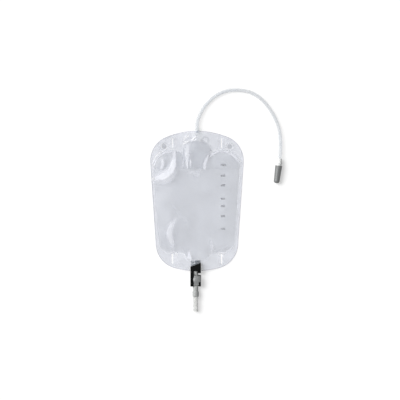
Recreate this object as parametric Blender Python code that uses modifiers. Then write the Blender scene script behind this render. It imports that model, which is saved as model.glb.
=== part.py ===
# Urine drainage bag lying on its back film, in metres: +Y to the inlet, origin under its middle

import math

import bmesh
import bpy
from mathutils import Matrix, Vector

# Films and the clearance between pieces that touch
film_wall = 0.0003
flap_wall = 0.0002
contact_gap = 0.0003

# Bag outline: crowned ends, round corners, and sides that lean in towards the bottom
bag_top_y = 0.139
bag_bottom_y = -0.1405
bag_half_width = 0.08805
side_lean = 0.0677
top_slope = math.radians(21)
top_crown_radius = 0.161
top_corner_radius = 0.051
bottom_slope = math.radians(12)
bottom_crown_radius = 0.165
bottom_corner_radius = 0.050
edge_spacing = 0.012
port_spacing = 0.0036
port_zone = 0.040

# Chamber, inside the weld: a neck under the inlet, a lobe on each side and a funnel to the outlet
side_flange = 0.007
top_flange = 0.037
bottom_flange = 0.0365
lobe_inner_x = 0.040
lobe_outer_x = 0.066
lobe_fall = 0.0215
neck_half_width = 0.012
neck_bulge_x = 0.029
neck_bulge_rise = 0.008
neck_notch_x = 0.0275
neck_notch_drop = 0.0065
neck_radius = 0.004
neck_bulge_radius = 0.008
neck_notch_radius = 0.003
lobe_inner_radius = 0.012
lobe_outer_radius = 0.030
lobe_side_radius = 0.020
chamber_bottom_radius = 0.028
funnel_shoulder_radius = 0.008
funnel_mouth_radius = 0.005
funnel_top_x = 0.027
funnel_bottom_x = 0.018
chamber_bulge = 0.014
pillow_power = 0.8
core_half_width = 0.030
core_half_length = 0.055
port_rise_reach = 0.040
front_shares = (-1, -0.5, 0, 0.07, 0.22, 0.5, 1)
back_shares = (-1, -0.5, 0, 0.07, 0.22, 1)

# Holes through the flange
slot_width = 0.003
slot_length = 0.020
slot_x = 0.049
slot_inset = 0.024
eyelet_radius = 0.0055
eyelet_x = 0.0655
eyelet_inset = 0.031

# Anti-reflux flap, hung from the top weld
flap_drop = 0.0375
flap_shares = (0.07, 0.22, 0.5, 1)

# Inlet port, a canoe-shaped fitment between the films
inlet_x = 0.0008
inlet_half_width = 0.0105
inlet_half_depth = 0.0056
inlet_length = 0.024
inlet_stand_out = 0.005
lumen_radius = 0.002

# Inlet tube
tube_radius = 0.0038
tube_inserted = 0.012
tube_points = 34

# Connector and its cap, placed by the middle of the cap's mouth
connector_seat = (0.1632, 0.0696)
connector_tilt = math.radians(7.5)
tail_length = 0.0082
tail_wall = 0.0010
tail_lead = 0.010
moulding_edge = 0.0005
grip_radius = 0.0068
grip_thickness = 0.0018
neck_length = 0.0036
cone_length = 0.030
cone_base_radius = 0.0056
cone_tip_radius = 0.0036
cone_steps = 3
step_height = 0.0004
cap_length = 0.035
cap_mouth_radius = 0.0072
cap_end_radius = 0.0058
cap_rounding = 0.003
cap_rim_length = 0.0022
cap_rim_height = 0.0003

# Outlet port, and the soft tube that the clamp pinches
outlet_x = -0.0024
outlet_half_width = 0.010
outlet_half_depth = 0.0056
outlet_length = 0.009
spigot_length = 0.014
pinch_radius = 0.005
pinch_wall = 0.0016
pinch_height = 0.0036
pinch_tail = 0.0205
flare_wall = 0.0009
flare_length = 0.0085

# Drain tube
drain_radius = 0.0051
drain_wall = 0.0012
drain_length = 0.030
drain_bell = 0.0004

# Clamp frame: a slanted collar, a column on the left, a back wall and a hinge ear on the right
clamp_overlap = 0.01245
clamp_slant = math.radians(18.5)
clamp_half_width = 0.0105
clamp_length = 0.043
clamp_edge = 0.0006
collar_length = 0.0164
back_wall = 0.0019
column_width = 0.0054
side_gap = 0.0045
side_gap_reach = 0.0065
tube_window_length = 0.0042
tube_window_reach = 0.0035
ear_width = 0.004
ear_radius = 0.003

# Clamp lever, about its hinge
hinge_inset = 0.0050
barrel_radius = 0.0028
pin_radius = 0.0014
pin_seat = 0.0026
lever_length = 0.0162
lever_crown = 0.0013
crown_start = 0.0019
barrel_wrap = math.radians(297)
lever_thickness = 0.0032
lever_grooves = 4
groove_depth = 0.00035
nose_reach = 0.008
nose_radius = 0.0018
nose_root = 0.0029

# Route of the inlet tube: x, y, and how high its middle lies, from the port to the connector
tube_route = (
    (0.0008, 0.1540, 0.0058),
    (0.0030, 0.1635, 0.0052),
    (0.0084, 0.1760, 0.0045),
    (0.0164, 0.1886, 0.0040),
    (0.0280, 0.2012, 0.0038),
    (0.0396, 0.2100, 0.0038),
    (0.0526, 0.2164, 0.0038),
    (0.0656, 0.2196, 0.0038),
    (0.0788, 0.2204, 0.0038),
    (0.0918, 0.2196, 0.0038),
    (0.1048, 0.2166, 0.0038),
    (0.1178, 0.2106, 0.0038),
    (0.1296, 0.2016, 0.0038),
    (0.1398, 0.1902, 0.0038),
    (0.1488, 0.1774, 0.0039),
    (0.1560, 0.1640, 0.0042),
    (0.1614, 0.1506, 0.0047),
    (0.1646, 0.1370, 0.0054),
    (0.1664, 0.1230, 0.0062),
    (0.1666, 0.1090, 0.0069),
)

# Worked out from the sizes above
flange_middle_z = film_wall + contact_gap / 2
lobe_top_y = bag_top_y - top_flange
chamber_bottom_y = bag_bottom_y + bottom_flange
inlet_z = inlet_half_depth + contact_gap + film_wall
inlet_top_y = bag_top_y + inlet_stand_out
inlet_inner_y = inlet_top_y - inlet_length
connector_z = cap_mouth_radius + contact_gap
connector_way = Vector((-math.sin(connector_tilt), -math.cos(connector_tilt), 0))
grip_start = -(neck_length + grip_thickness)
tail_start = grip_start - tail_length
tail_radius = tube_radius + contact_gap + tail_wall
clamp_top_y = bag_bottom_y + clamp_overlap
clamp_rise = math.tan(clamp_slant)
clamp_bottom_y = clamp_top_y - clamp_length
collar_bottom_y = clamp_top_y - collar_length
outlet_top_y = clamp_top_y + outlet_length
pinch_bottom_z = back_wall + contact_gap
outlet_z = pinch_bottom_z + pinch_radius
clamp_depth = 2 * outlet_z
pinch_half_width = math.pi * (pinch_radius - pinch_height / 2) / 2 + pinch_height / 2
pinch_end_y = clamp_bottom_y - pinch_tail
flare_radius = drain_radius + contact_gap + flare_wall
drain_end_y = pinch_end_y - drain_length
spigot_radius = pinch_radius - pinch_wall - contact_gap
clamp_left = outlet_x - clamp_half_width
clamp_right = outlet_x + clamp_half_width
column_inner_x = clamp_left + column_width
ear_inner_x = clamp_right - ear_width
hinge_y = clamp_bottom_y + hinge_inset
hinge_z = clamp_depth - barrel_radius
nose_y = hinge_y + nose_reach
ear_top_y = hinge_y + ear_radius + contact_gap
channel_top_z = hinge_z - ear_radius - contact_gap


def clear_scene():
    for item in list(bpy.data.objects):
        bpy.data.objects.remove(item)


def collection(name):
    made = bpy.data.collections.new(name)
    bpy.context.scene.collection.children.link(made)
    return made


def material(name, colour, roughness, alpha=1.0):
    made = bpy.data.materials.new(name)
    made.use_nodes = True
    shader = made.node_tree.nodes["Principled BSDF"]
    shader.inputs["Base Color"].default_value = (*colour, 1)
    shader.inputs["Roughness"].default_value = roughness
    shader.inputs["Metallic"].default_value = 0.0
    shader.inputs["Alpha"].default_value = alpha
    return made


def add_object(name, data, group, finish=None):
    made = bpy.data.objects.new(name, data)
    group.objects.link(made)
    if finish:
        data.materials.append(finish)
    return made


def helper(obj):
    # Keeps a cutter or a joined shape out of the model.
    obj.hide_render = True
    obj.display_type = "WIRE"
    return obj


def mesh_from(bm, name):
    mesh = bpy.data.meshes.new(name)
    bmesh.ops.recalc_face_normals(bm, faces=bm.faces)
    bm.to_mesh(mesh)
    bm.free()
    return mesh


def smooth(obj, angle=math.radians(35)):
    obj.data.shade_smooth()
    obj.data.set_sharp_from_angle(angle=angle)
    return obj


def combine(target, tool, operation):
    step = target.modifiers.new(f"{operation.lower()}_{tool.name}", "BOOLEAN")
    step.operation = operation
    step.solver = "EXACT"
    step.object = helper(tool)
    return target


def cut(target, *tools):
    for tool in tools:
        combine(target, tool, "DIFFERENCE")
    return target


def join(target, *tools):
    for tool in tools:
        combine(target, tool, "UNION")
    return target


def box(name, low, high):
    # A box between two opposite corners.
    low = Vector(low)
    high = Vector(high)
    bm = bmesh.new()
    bmesh.ops.create_cube(bm, size=1)
    bmesh.ops.scale(bm, vec=high - low, verts=bm.verts)
    bmesh.ops.translate(bm, vec=(high + low) / 2, verts=bm.verts)
    return add_object(name, mesh_from(bm, name), cutters)


def rod(name, start, end, radius, sides=32):
    # A closed cylinder from one point to another.
    start = Vector(start)
    end = Vector(end)
    bm = bmesh.new()
    bmesh.ops.create_cone(
        bm, cap_ends=True, segments=sides, radius1=radius, radius2=radius, depth=(end - start).length
    )
    turn = (end - start).to_track_quat("Z", "Y").to_matrix()
    bmesh.ops.rotate(bm, matrix=turn, verts=bm.verts)
    bmesh.ops.translate(bm, vec=(start + end) / 2, verts=bm.verts)
    return add_object(name, mesh_from(bm, name), cutters)


def plate(name, outline, low, high, across="Z"):
    # A filled flat outline, given thickness along Z, or along X for an outline in Y and Z.
    curve = bpy.data.curves.new(name, "CURVE")
    curve.dimensions = "2D"
    curve.fill_mode = "BOTH"
    curve.extrude = (high - low) / 2
    spline = curve.splines.new("POLY")
    spline.points.add(len(outline) - 1)
    for point, (x, y) in zip(spline.points, outline):
        point.co = (x, y, 0, 1)
    spline.use_cyclic_u = True
    flat = add_object(name + "_outline", curve, cutters)
    bpy.context.view_layer.update()
    graph = bpy.context.evaluated_depsgraph_get()
    mesh = bpy.data.meshes.new_from_object(flat.evaluated_get(graph))
    bpy.data.objects.remove(flat)
    bm = bmesh.new()
    bm.from_mesh(mesh)
    bmesh.ops.remove_doubles(bm, verts=bm.verts, dist=1e-6)
    bmesh.ops.translate(bm, vec=(0, 0, (low + high) / 2), verts=bm.verts)
    if across == "X":
        upright = Matrix(((0, 0, 1), (1, 0, 0), (0, 1, 0)))
        bmesh.ops.rotate(bm, matrix=upright, verts=bm.verts)
    return add_object(name, mesh_from(bm, name), cutters)


def arc(centre, radius, start, end, steps):
    # Points on an arc, angles in radians from +X.
    return [
        (
            centre[0] + radius * math.cos(start + (end - start) * i / steps),
            centre[1] + radius * math.sin(start + (end - start) * i / steps),
        )
        for i in range(steps + 1)
    ]


def rounded(corners, steps=10):
    # A closed outline through corners (x, y, radius), each rounded by a tangent arc.
    outline = []
    count = len(corners)
    for i, (x, y, radius) in enumerate(corners):
        corner = Vector((x, y))
        before = (Vector(corners[i - 1][:2]) - corner).normalized()
        after = (Vector(corners[(i + 1) % count][:2]) - corner).normalized()
        half = before.angle(after) / 2
        if radius <= 0 or half > math.radians(89.9):
            outline.append(corner)
            continue
        reach = radius / math.tan(half)
        centre = corner + (before + after).normalized() * radius / math.sin(half)
        first = corner + before * reach - centre
        last = corner + after * reach - centre
        turn = first.angle_signed(last)
        for k in range(steps + 1):
            outline.append(centre + Matrix.Rotation(-turn * k / steps, 2) @ first)
    return outline


def mirrored(right_side):
    # Completes the right side of an outline, listed from top to bottom, with its mirror image.
    left_side = [(-x, y, radius) for x, y, radius in reversed(right_side) if x > 1e-6]
    return right_side + left_side


def bag_corners():
    # Outer outline: crowned top and bottom edges, sides that lean in towards the bottom.
    top = bag_top_y + top_crown_radius * (1 / math.cos(top_slope) - 1)
    bottom = bag_bottom_y - bottom_crown_radius * (1 / math.cos(bottom_slope) - 1)
    fall = math.tan(top_slope)
    rise = math.tan(bottom_slope)
    top_x = (bag_half_width + side_lean * top) / (1 + side_lean * fall)
    bottom_x = (bag_half_width + side_lean * bottom) / (1 - side_lean * rise)
    return mirrored(
        [
            (0, top, top_crown_radius),
            (top_x, top - fall * top_x, top_corner_radius),
            (bottom_x, bottom + rise * bottom_x, bottom_corner_radius),
            (0, bottom, bottom_crown_radius),
        ]
    )


def chamber_side_x(y):
    return bag_half_width - side_flange + side_lean * y


def chamber_corners():
    # Weld outline: the neck under the inlet, a lobe on each side of it, and the funnel to the outlet.
    clear = 4 * contact_gap
    lobe_side_y = lobe_top_y - lobe_fall
    return mirrored(
        [
            (neck_half_width, inlet_inner_y - clear, neck_radius),
            (neck_bulge_x, lobe_top_y + neck_bulge_rise, neck_bulge_radius),
            (neck_notch_x, lobe_top_y - neck_notch_drop, neck_notch_radius),
            (lobe_inner_x, lobe_top_y, lobe_inner_radius),
            (lobe_outer_x, lobe_top_y, lobe_outer_radius),
            (chamber_side_x(lobe_side_y), lobe_side_y, lobe_side_radius),
            (chamber_side_x(chamber_bottom_y), chamber_bottom_y, chamber_bottom_radius),
            (funnel_top_x, chamber_bottom_y, funnel_shoulder_radius),
            (funnel_bottom_x, outlet_top_y + clear, funnel_mouth_radius),
        ]
    )


def reach_of(outline, angle):
    # How far an outline lies from the origin in one direction, the angle measured from +Y towards +X.
    way = Vector((math.sin(angle), math.cos(angle)))
    best = 0.0
    for a, b in zip(outline, outline[1:] + outline[:1]):
        side = b - a
        cross = way.x * side.y - way.y * side.x
        if abs(cross) < 1e-15:
            continue
        along = (a.x * side.y - a.y * side.x) / cross
        share = (a.x * way.y - a.y * way.x) / cross
        if -1e-9 <= share <= 1 + 1e-9:
            best = max(best, along)
    return best


def ring_angles():
    # Directions of points along the bag's edge, closer together beside the ports.
    outline = rounded(bag_corners())
    walk = []
    for a, b in zip(outline, outline[1:] + outline[:1]):
        pieces = math.ceil((b - a).length / (port_spacing / 4)) or 1
        walk += [a.lerp(b, k / pieces) for k in range(pieces)]
    cost = [0.0]
    for a, b in zip(walk, walk[1:] + walk[:1]):
        port_x = inlet_x if a.y > 0 else outlet_x
        spacing = port_spacing if abs(a.x - port_x) < port_zone else edge_spacing
        cost.append(cost[-1] + (b - a).length / spacing)
    count = round(cost[-1])
    angles = []
    at = 0
    for k in range(count):
        while cost[at + 1] <= cost[-1] * k / count:
            at += 1
        angles.append(math.atan2(walk[at].x, walk[at].y))
    return angles


def ease(x):
    # 0 below 0, 1 above 1, and smooth between them.
    x = min(1.0, max(0.0, x))
    return x * x * (3 - 2 * x)


def port_lens(x, middle, half_width, half_depth):
    # Half the depth of a canoe-shaped port at x.
    return half_depth * max(0.0, 1 - ((x - middle) / half_width) ** 2)


def flange_shape(x, y):
    # Height of the weld's middle, and half the space between the films there.
    if y > 0:
        nearness = ease((y - inlet_inner_y) / port_rise_reach + 1)
        port_x, half_width, half_depth, port_z = inlet_x, inlet_half_width, inlet_half_depth, inlet_z
    else:
        nearness = ease((outlet_top_y - y) / port_rise_reach + 1)
        port_x, half_width, half_depth, port_z = outlet_x, outlet_half_width, outlet_half_depth, outlet_z
    beside = 1 - ease((abs(x - port_x) - half_width) / port_rise_reach)
    middle = flange_middle_z + (port_z - flange_middle_z) * nearness * beside
    lens = port_lens(x, port_x, half_width, half_depth)
    space = contact_gap / 2 + nearness * (lens + (contact_gap / 2 if lens else 0))
    return middle, space


def pillow(inward):
    # How far the chamber has risen, from 0 at the weld to 1 at its core.
    return (1 - (1 - inward) ** 2) ** pillow_power


def film_rings(front, shares, lowered=0.0):
    # Rings of points from the bag's edge, at share -1, by the weld, at 0, to the core, at 1.
    outer = rounded(bag_corners())
    weld = rounded(chamber_corners())
    angles = ring_angles()
    rings = []
    for share in shares:
        ring = []
        for angle in angles:
            way = Vector((math.sin(angle), math.cos(angle)))
            weld_reach = reach_of(weld, angle)
            end = reach_of(outer, angle)
            if share > 0:
                end = 1 / math.hypot(way.x / core_half_width, way.y / core_half_length)
            point = way * (weld_reach + (end - weld_reach) * abs(share))
            middle, space = flange_shape(*point)
            risen = pillow(max(0.0, share))
            if front:
                height = middle + space + film_wall / 2
                core = 2 * film_wall + chamber_bulge
            else:
                height = middle - space - film_wall / 2
                core = film_wall / 2
            ring.append(Vector((point.x, point.y, height + (core - height) * risen - lowered)))
        rings.append(ring)
    return rings


def film(name, rings, wall):
    # Lofts rings into one sheet, closed at its centre, and gives it its wall. Its triangles are split
    # the same way in every film, so that films that lie together stay parallel.
    bm = bmesh.new()
    loops = [[bm.verts.new(point) for point in ring] for ring in rings]
    for outer, inner in zip(loops, loops[1:]):
        for i in range(len(outer)):
            bm.faces.new((outer[i - 1], outer[i], inner[i]))
            bm.faces.new((outer[i - 1], inner[i], inner[i - 1]))
    last = loops[-1]
    centre = bm.verts.new((0, 0, last[0].co.z))
    for i in range(len(last)):
        bm.faces.new((last[i - 1], last[i], centre))
    sheet = add_object(name, mesh_from(bm, name), parts, clear_film)
    step = sheet.modifiers.new("wall", "SOLIDIFY")
    step.thickness = wall
    step.offset = 0
    step.use_even_offset = True
    return sheet


def stadium(width, length, x, y):
    # A slot outline with round ends, long side along Y.
    radius = width / 2
    straight = length / 2 - radius
    upper = arc((x, y + straight), radius, 0, math.pi, 6)
    lower = arc((x, y - straight), radius, math.pi, 2 * math.pi, 6)
    return upper + lower


def flange_holes(name):
    # Cutters for the strap slots, the hanger eyelets and the notch that leaves the clamp free.
    through = (-0.002, 2 * clamp_depth)
    made = []
    for side, label in ((-1, "left"), (1, "right")):
        for end, y in (("top", bag_top_y - slot_inset), ("bottom", bag_bottom_y + slot_inset)):
            outline = stadium(slot_width, slot_length, side * slot_x, y)
            made.append(plate(f"{name}_{end}_{label}_slot", outline, *through))
        centre = (side * eyelet_x, bag_top_y - eyelet_inset)
        outline = arc(centre, eyelet_radius, 0, 2 * math.pi, 20)[:-1]
        made.append(plate(f"{name}_{label}_eyelet", outline, *through))
    margin = 2 * contact_gap
    half = clamp_half_width + margin
    below = bag_bottom_y - clamp_overlap
    notch = [
        (outlet_x - half, below),
        (outlet_x + half, below),
        (outlet_x + half, clamp_top_y + clamp_rise * half + margin),
        (outlet_x - half, clamp_top_y - clamp_rise * half + margin),
    ]
    made.append(plate(f"{name}_clamp_notch", notch, *through))
    return made


def build_films():
    front = film("front_film", film_rings(True, front_shares), film_wall)
    cut(front, *flange_holes("front"))
    back = film("back_film", film_rings(False, back_shares), film_wall)
    cut(back, *flange_holes("back"))
    lowered = film_wall / 2 + contact_gap + flap_wall / 2
    flap = film("anti_reflux_flap", film_rings(True, flap_shares, lowered), flap_wall)
    below = box(
        "flap_trim",
        (-bag_half_width, bag_bottom_y, -contact_gap),
        (bag_half_width, lobe_top_y - flap_drop, 2 * chamber_bulge),
    )
    cut(flap, below)


def port_outline(middle, half_width, half_depth, steps=12):
    # Lens section of a port in X and Z, with blunt tips.
    upper = []
    for i in range(steps + 1):
        x = middle + half_width * (1 - 2 * i / steps)
        upper.append((x, max(contact_gap / 2, port_lens(x, middle, half_width, half_depth))))
    lower = [(x, -z) for x, z in reversed(upper)]
    return upper + lower


def port_body(name, outline, start_y, end_y, axis_z):
    # The lens outline carried along Y.
    made = plate(name, outline, 0, end_y - start_y)
    made.data.transform(Matrix(((1, 0, 0), (0, 0, 1), (0, 1, 0))).to_4x4())
    made.data.flip_normals()
    made.data.transform(Matrix.Translation((0, start_y, axis_z)))
    return shown(made, clear_vinyl)


def shown(obj, finish):
    # Moves a plate from the cutters to the model.
    parts.objects.link(obj)
    cutters.objects.unlink(obj)
    obj.data.materials.append(finish)
    return obj


def build_inlet_port():
    outline = port_outline(inlet_x, inlet_half_width, inlet_half_depth)
    port = port_body("inlet_port", outline, inlet_inner_y, inlet_top_y, inlet_z)
    socket_end = (inlet_x, inlet_top_y - tube_inserted - contact_gap, inlet_z)
    outside = (inlet_x, inlet_top_y + tube_radius, inlet_z)
    inside = (inlet_x, inlet_inner_y - tube_radius, inlet_z)
    socket = rod("inlet_socket", socket_end, outside, tube_radius + contact_gap, 24)
    lumen = rod("inlet_lumen", inside, outside, lumen_radius, 16)
    cut(port, socket, lumen)


def smooth_route(points, count):
    # Evenly spaced points on a smooth curve through the route.
    points = [Vector(p) for p in points]
    ends = [2 * points[0] - points[1]] + points + [2 * points[-1] - points[-2]]
    fine = []
    for a, b, c, d in zip(ends, ends[1:], ends[2:], ends[3:]):
        for k in range(12):
            t = k / 12
            bend = 2 * a - 5 * b + 4 * c - d
            twist = 3 * b - a - 3 * c + d
            fine.append(0.5 * (2 * b + (c - a) * t + bend * t**2 + twist * t**3))
    fine.append(points[-1])
    along = [0.0]
    for a, b in zip(fine, fine[1:]):
        along.append(along[-1] + (b - a).length)
    picked = []
    at = 0
    for k in range(count):
        want = along[-1] * k / (count - 1)
        while at < len(fine) - 2 and along[at + 1] < want:
            at += 1
        share = (want - along[at]) / (along[at + 1] - along[at])
        picked.append(fine[at].lerp(fine[at + 1], min(1.0, share)))
    return picked


def connector_point(along):
    # A point on the connector's axis, measured from the cap's mouth towards its end.
    return Vector((*connector_seat, connector_z)) + connector_way * along


def build_tube():
    socket = [
        (inlet_x, inlet_top_y - tube_inserted, inlet_z),
        (inlet_x, inlet_top_y, inlet_z),
    ]
    tail = [connector_point(tail_start + step) for step in (-tail_lead, 0, tube_inserted)]
    curve = bpy.data.curves.new("inlet_tube", "CURVE")
    curve.dimensions = "3D"
    curve.bevel_depth = tube_radius
    curve.bevel_resolution = 3
    curve.use_fill_caps = True
    spline = curve.splines.new("POLY")
    spline.points.add(tube_points - 1)
    for point, place in zip(spline.points, smooth_route([*socket, *tube_route, *tail], tube_points)):
        point.co = (*place, 1)
    add_object("inlet_tube", curve, parts, clear_vinyl)


def turned(name, profile, place, way, finish, steps=28):
    # A profile of (radius, along) points turned about an axis that starts at place and runs along way.
    mesh = bpy.data.meshes.new(name)
    edges = [(i, (i + 1) % len(profile)) for i in range(len(profile))]
    mesh.from_pydata([(radius, 0, along) for radius, along in profile], edges, [])
    made = add_object(name, mesh, parts, finish)
    step = made.modifiers.new("turn", "SCREW")
    step.steps = steps
    step.render_steps = steps
    step.use_merge_vertices = True
    step.merge_threshold = 0.00001
    step.use_smooth_shade = True
    made.location = place
    made.rotation_mode = "QUATERNION"
    made.rotation_quaternion = Vector(way).to_track_quat("Z", "X")
    return made


def cone_radius(along):
    # Radius of the connector's cone, before its steps, at a distance from the cap's mouth.
    return cone_base_radius + (cone_tip_radius - cone_base_radius) * along / cone_length


def build_connector():
    # Moulded connector: a sleeve round the tube's end, a grip disc, a neck and a stepped cone.
    bore = tube_radius + contact_gap
    socket_end = tail_start + tube_inserted + contact_gap
    outside = [
        (tail_radius, tail_start),
        (tail_radius + moulding_edge, grip_start - moulding_edge),
        (grip_radius - moulding_edge, grip_start),
        (grip_radius, grip_start + moulding_edge),
        (grip_radius, grip_start + grip_thickness - moulding_edge),
        (grip_radius - moulding_edge, grip_start + grip_thickness),
        (cone_base_radius, grip_start + grip_thickness),
    ]
    step_length = cone_length / cone_steps
    for i in range(cone_steps):
        end = (i + 1) * step_length
        outside.append((cone_radius(end), end - step_height))
        outside.append((cone_radius(end) - step_height, end))
    inside = [(lumen_radius, cone_length), (lumen_radius, socket_end)]
    inside += [(bore, socket_end), (bore, tail_start)]
    profile = list(reversed(outside + inside))
    turned("tube_connector", profile, connector_point(0), connector_way, white_plastic)


def build_cap():
    # Cap over the cone: a tapered cup that fits the cone inside, with a rim at its mouth.
    end = contact_gap + cap_length
    rim_end = contact_gap + cap_rim_length
    corner = cap_end_radius - cap_rounding
    outside = [
        (cap_mouth_radius - cap_rim_height, contact_gap),
        (cap_mouth_radius, contact_gap + cap_rim_height),
        (cap_mouth_radius, rim_end),
        (cap_mouth_radius - cap_rim_height, rim_end + cap_rim_height),
    ]
    for i in range(6):
        bend = math.pi / 2 * i / 5
        outside.append((corner + cap_rounding * math.cos(bend), end - cap_rounding * (1 - math.sin(bend))))
    depth = cone_length + contact_gap
    inside = [
        (cone_radius(contact_gap) + contact_gap, contact_gap),
        (cone_radius(depth) + contact_gap, depth),
        (0, depth),
    ]
    outline = [(0, end)] + list(reversed(outside)) + inside
    turned("connector_cap", outline, connector_point(0), connector_way, grey_plastic)


def build_outlet_port():
    # Canoe-shaped fitment cut off at the clamp's slant, with a spigot down into the soft tube.
    half = 2 * outlet_half_width
    drop = clamp_rise * outlet_half_width + contact_gap
    outline = port_outline(outlet_x, outlet_half_width, outlet_half_depth)
    port = port_body("outlet_port", outline, clamp_top_y - drop, outlet_top_y, outlet_z)
    below = clamp_top_y - clamp_rise * half - outlet_length
    slant = [
        (outlet_x - half, clamp_top_y - clamp_rise * half + contact_gap),
        (outlet_x - half, below),
        (outlet_x + half, below),
        (outlet_x + half, clamp_top_y + clamp_rise * half + contact_gap),
    ]
    cut(port, plate("outlet_slant", slant, -contact_gap, 2 * clamp_depth))
    root = (outlet_x, (clamp_top_y + outlet_top_y) / 2, outlet_z)
    tip = (outlet_x, clamp_top_y - spigot_length, outlet_z)
    inside = (outlet_x, outlet_top_y + lumen_radius, outlet_z)
    past = (outlet_x, clamp_top_y - spigot_length - lumen_radius, outlet_z)
    pocket_end = (outlet_x, clamp_top_y + contact_gap, outlet_z)
    pocket = rod("outlet_pocket", pocket_end, past, pinch_radius + contact_gap, 24)
    spigot = rod("outlet_spigot", root, tip, spigot_radius, 24)
    lumen = rod("outlet_lumen", inside, past, lumen_radius, 16)
    cut(port, pocket)
    join(port, spigot)
    cut(port, lumen)


def pinch_stations():
    # The soft tube's stations: y, its height, its round radius and its wall.
    full = 2 * pinch_radius
    stations = [(clamp_top_y, full, pinch_radius, pinch_wall)]
    flat = nose_radius / 3
    squeezed = (collar_bottom_y, nose_y + flat)
    freed = (nose_y - flat, clamp_bottom_y - pinch_radius)
    for (start, end), heights in ((squeezed, (full, pinch_height)), (freed, (pinch_height, full))):
        for i in range(8):
            height = heights[0] + (heights[1] - heights[0]) * ease(i / 7)
            stations.append((start + (end - start) * i / 7, height, pinch_radius, pinch_wall))
    flare_top_y = pinch_end_y + flare_length
    lip = flare_wall / 2
    stations.append((flare_top_y + 4 * flare_wall, full, pinch_radius, pinch_wall))
    stations.append((flare_top_y, 2 * flare_radius, flare_radius, flare_wall))
    stations.append((pinch_end_y + lip, 2 * flare_radius, flare_radius, flare_wall))
    stations.append((pinch_end_y, 2 * flare_radius - 2 * lip, flare_radius - lip, flare_wall - lip))
    return stations


def pinch_ring(y, height, radius, inset, sides=20):
    # A ring of the tube at y, flattened to a height against the back wall with its girth kept.
    bend = height / 2 - inset
    spread = math.pi * (radius - height / 2) / 2
    middle_z = outlet_z - (radius - height / 2)
    ring = []
    for i in range(sides):
        angle = 2 * math.pi * (i + 0.5) / sides
        x = math.cos(angle) * bend + math.copysign(spread, math.cos(angle))
        ring.append(Vector((outlet_x + x, y, middle_z + math.sin(angle) * bend)))
    return ring


def build_pinch_tube():
    # Soft tube from the outlet port, squeezed flat in the clamp and stretched over the drain tube.
    stations = pinch_stations()
    outer = [pinch_ring(y, height, radius, 0) for y, height, radius, wall in stations]
    inner = [pinch_ring(y, height, radius, wall) for y, height, radius, wall in stations]
    bm = bmesh.new()
    loops = [[bm.verts.new(point) for point in ring] for ring in outer + list(reversed(inner))]
    for one, other in zip(loops, loops[1:] + loops[:1]):
        for i in range(len(one)):
            bm.faces.new((one[i - 1], one[i], other[i], other[i - 1]))
    add_object("pinch_tube", mesh_from(bm, "pinch_tube"), parts, grey_rubber)


def build_drain_tube():
    # Soft end tube, pushed into the flare of the pinch tube, with a slight bell at its mouth.
    inserted = flare_length - contact_gap
    length = inserted + drain_length
    inner = drain_radius - drain_wall
    edge = drain_wall / 3
    bell_length = 10 * drain_bell
    profile = [
        (inner, length - bell_length),
        (inner + drain_bell, length),
        (drain_radius + drain_bell - edge, length),
        (drain_radius + drain_bell, length - edge),
        (drain_radius, length - bell_length),
        (drain_radius, edge),
        (drain_radius - edge, 0),
        (inner, 0),
    ]
    turned("drain_tube", profile, (outlet_x, pinch_end_y + inserted, outlet_z), (0, -1, 0), pale_rubber)


def build_clamp_body():
    window_x = clamp_right - side_gap_reach
    gap_bottom_y = collar_bottom_y - side_gap
    outline = [
        (clamp_left, clamp_top_y - clamp_rise * clamp_half_width),
        (clamp_left, clamp_bottom_y),
        (clamp_right, clamp_bottom_y),
        (clamp_right, gap_bottom_y),
        (window_x, gap_bottom_y),
        (window_x, collar_bottom_y),
        (clamp_right, collar_bottom_y),
        (clamp_right, clamp_top_y + clamp_rise * clamp_half_width),
    ]
    body = shown(plate("clamp_body", outline, 0, clamp_depth), black_plastic)
    edge = body.modifiers.new("moulded_edges", "BEVEL")
    edge.width = clamp_edge
    edge.segments = 2
    edge.limit_method = "ANGLE"
    past = clamp_depth / 4
    front = clamp_depth + past
    half = pinch_half_width + contact_gap
    bore_top = (outlet_x, clamp_top_y + clamp_half_width, outlet_z)
    bore_end = (outlet_x, collar_bottom_y - contact_gap, outlet_z)
    cut(
        body,
        rod("clamp_bore", bore_top, bore_end, pinch_radius + contact_gap, 28),
        box(
            "clamp_lever_bay",
            (column_inner_x, ear_top_y, channel_top_z - contact_gap),
            (clamp_right + past, collar_bottom_y, front),
        ),
        box(
            "clamp_hinge_bay",
            (column_inner_x, clamp_bottom_y - past, channel_top_z - contact_gap),
            (ear_inner_x, ear_top_y + contact_gap, front),
        ),
        box(
            "clamp_channel",
            (outlet_x - half, clamp_bottom_y - past, back_wall),
            (outlet_x + half, collar_bottom_y, channel_top_z),
        ),
        box(
            "clamp_side_port",
            (outlet_x, ear_top_y, back_wall),
            (clamp_right + past, collar_bottom_y, channel_top_z),
        ),
        box(
            "clamp_tube_window",
            (column_inner_x, collar_bottom_y - contact_gap, outlet_z),
            (outlet_x + tube_window_reach, collar_bottom_y + tube_window_length, front),
        ),
        ear_rounding(past),
    )
    pin_start = (column_inner_x - pin_seat - contact_gap, hinge_y, hinge_z)
    pin_end = (clamp_right + past, hinge_y, hinge_z)
    cut(body, rod("clamp_pin_hole", pin_start, pin_end, pin_radius + contact_gap, 20))


def ear_rounding(past):
    # Cutter that leaves the right ear a round top about the hinge.
    low = hinge_z - contact_gap
    top = clamp_depth + past
    ring = arc((hinge_y, hinge_z), ear_radius, 0, math.pi, 10)
    outline = [(ear_top_y + past, low), (ear_top_y + past, top)]
    outline += [(clamp_bottom_y - past, top), (clamp_bottom_y - past, low), (hinge_y - ear_radius, low)]
    outline += list(reversed(ring)) + [(hinge_y + ear_radius, low)]
    return plate("clamp_ear_rounding", outline, ear_inner_x - contact_gap, clamp_right + past, across="X")


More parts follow.
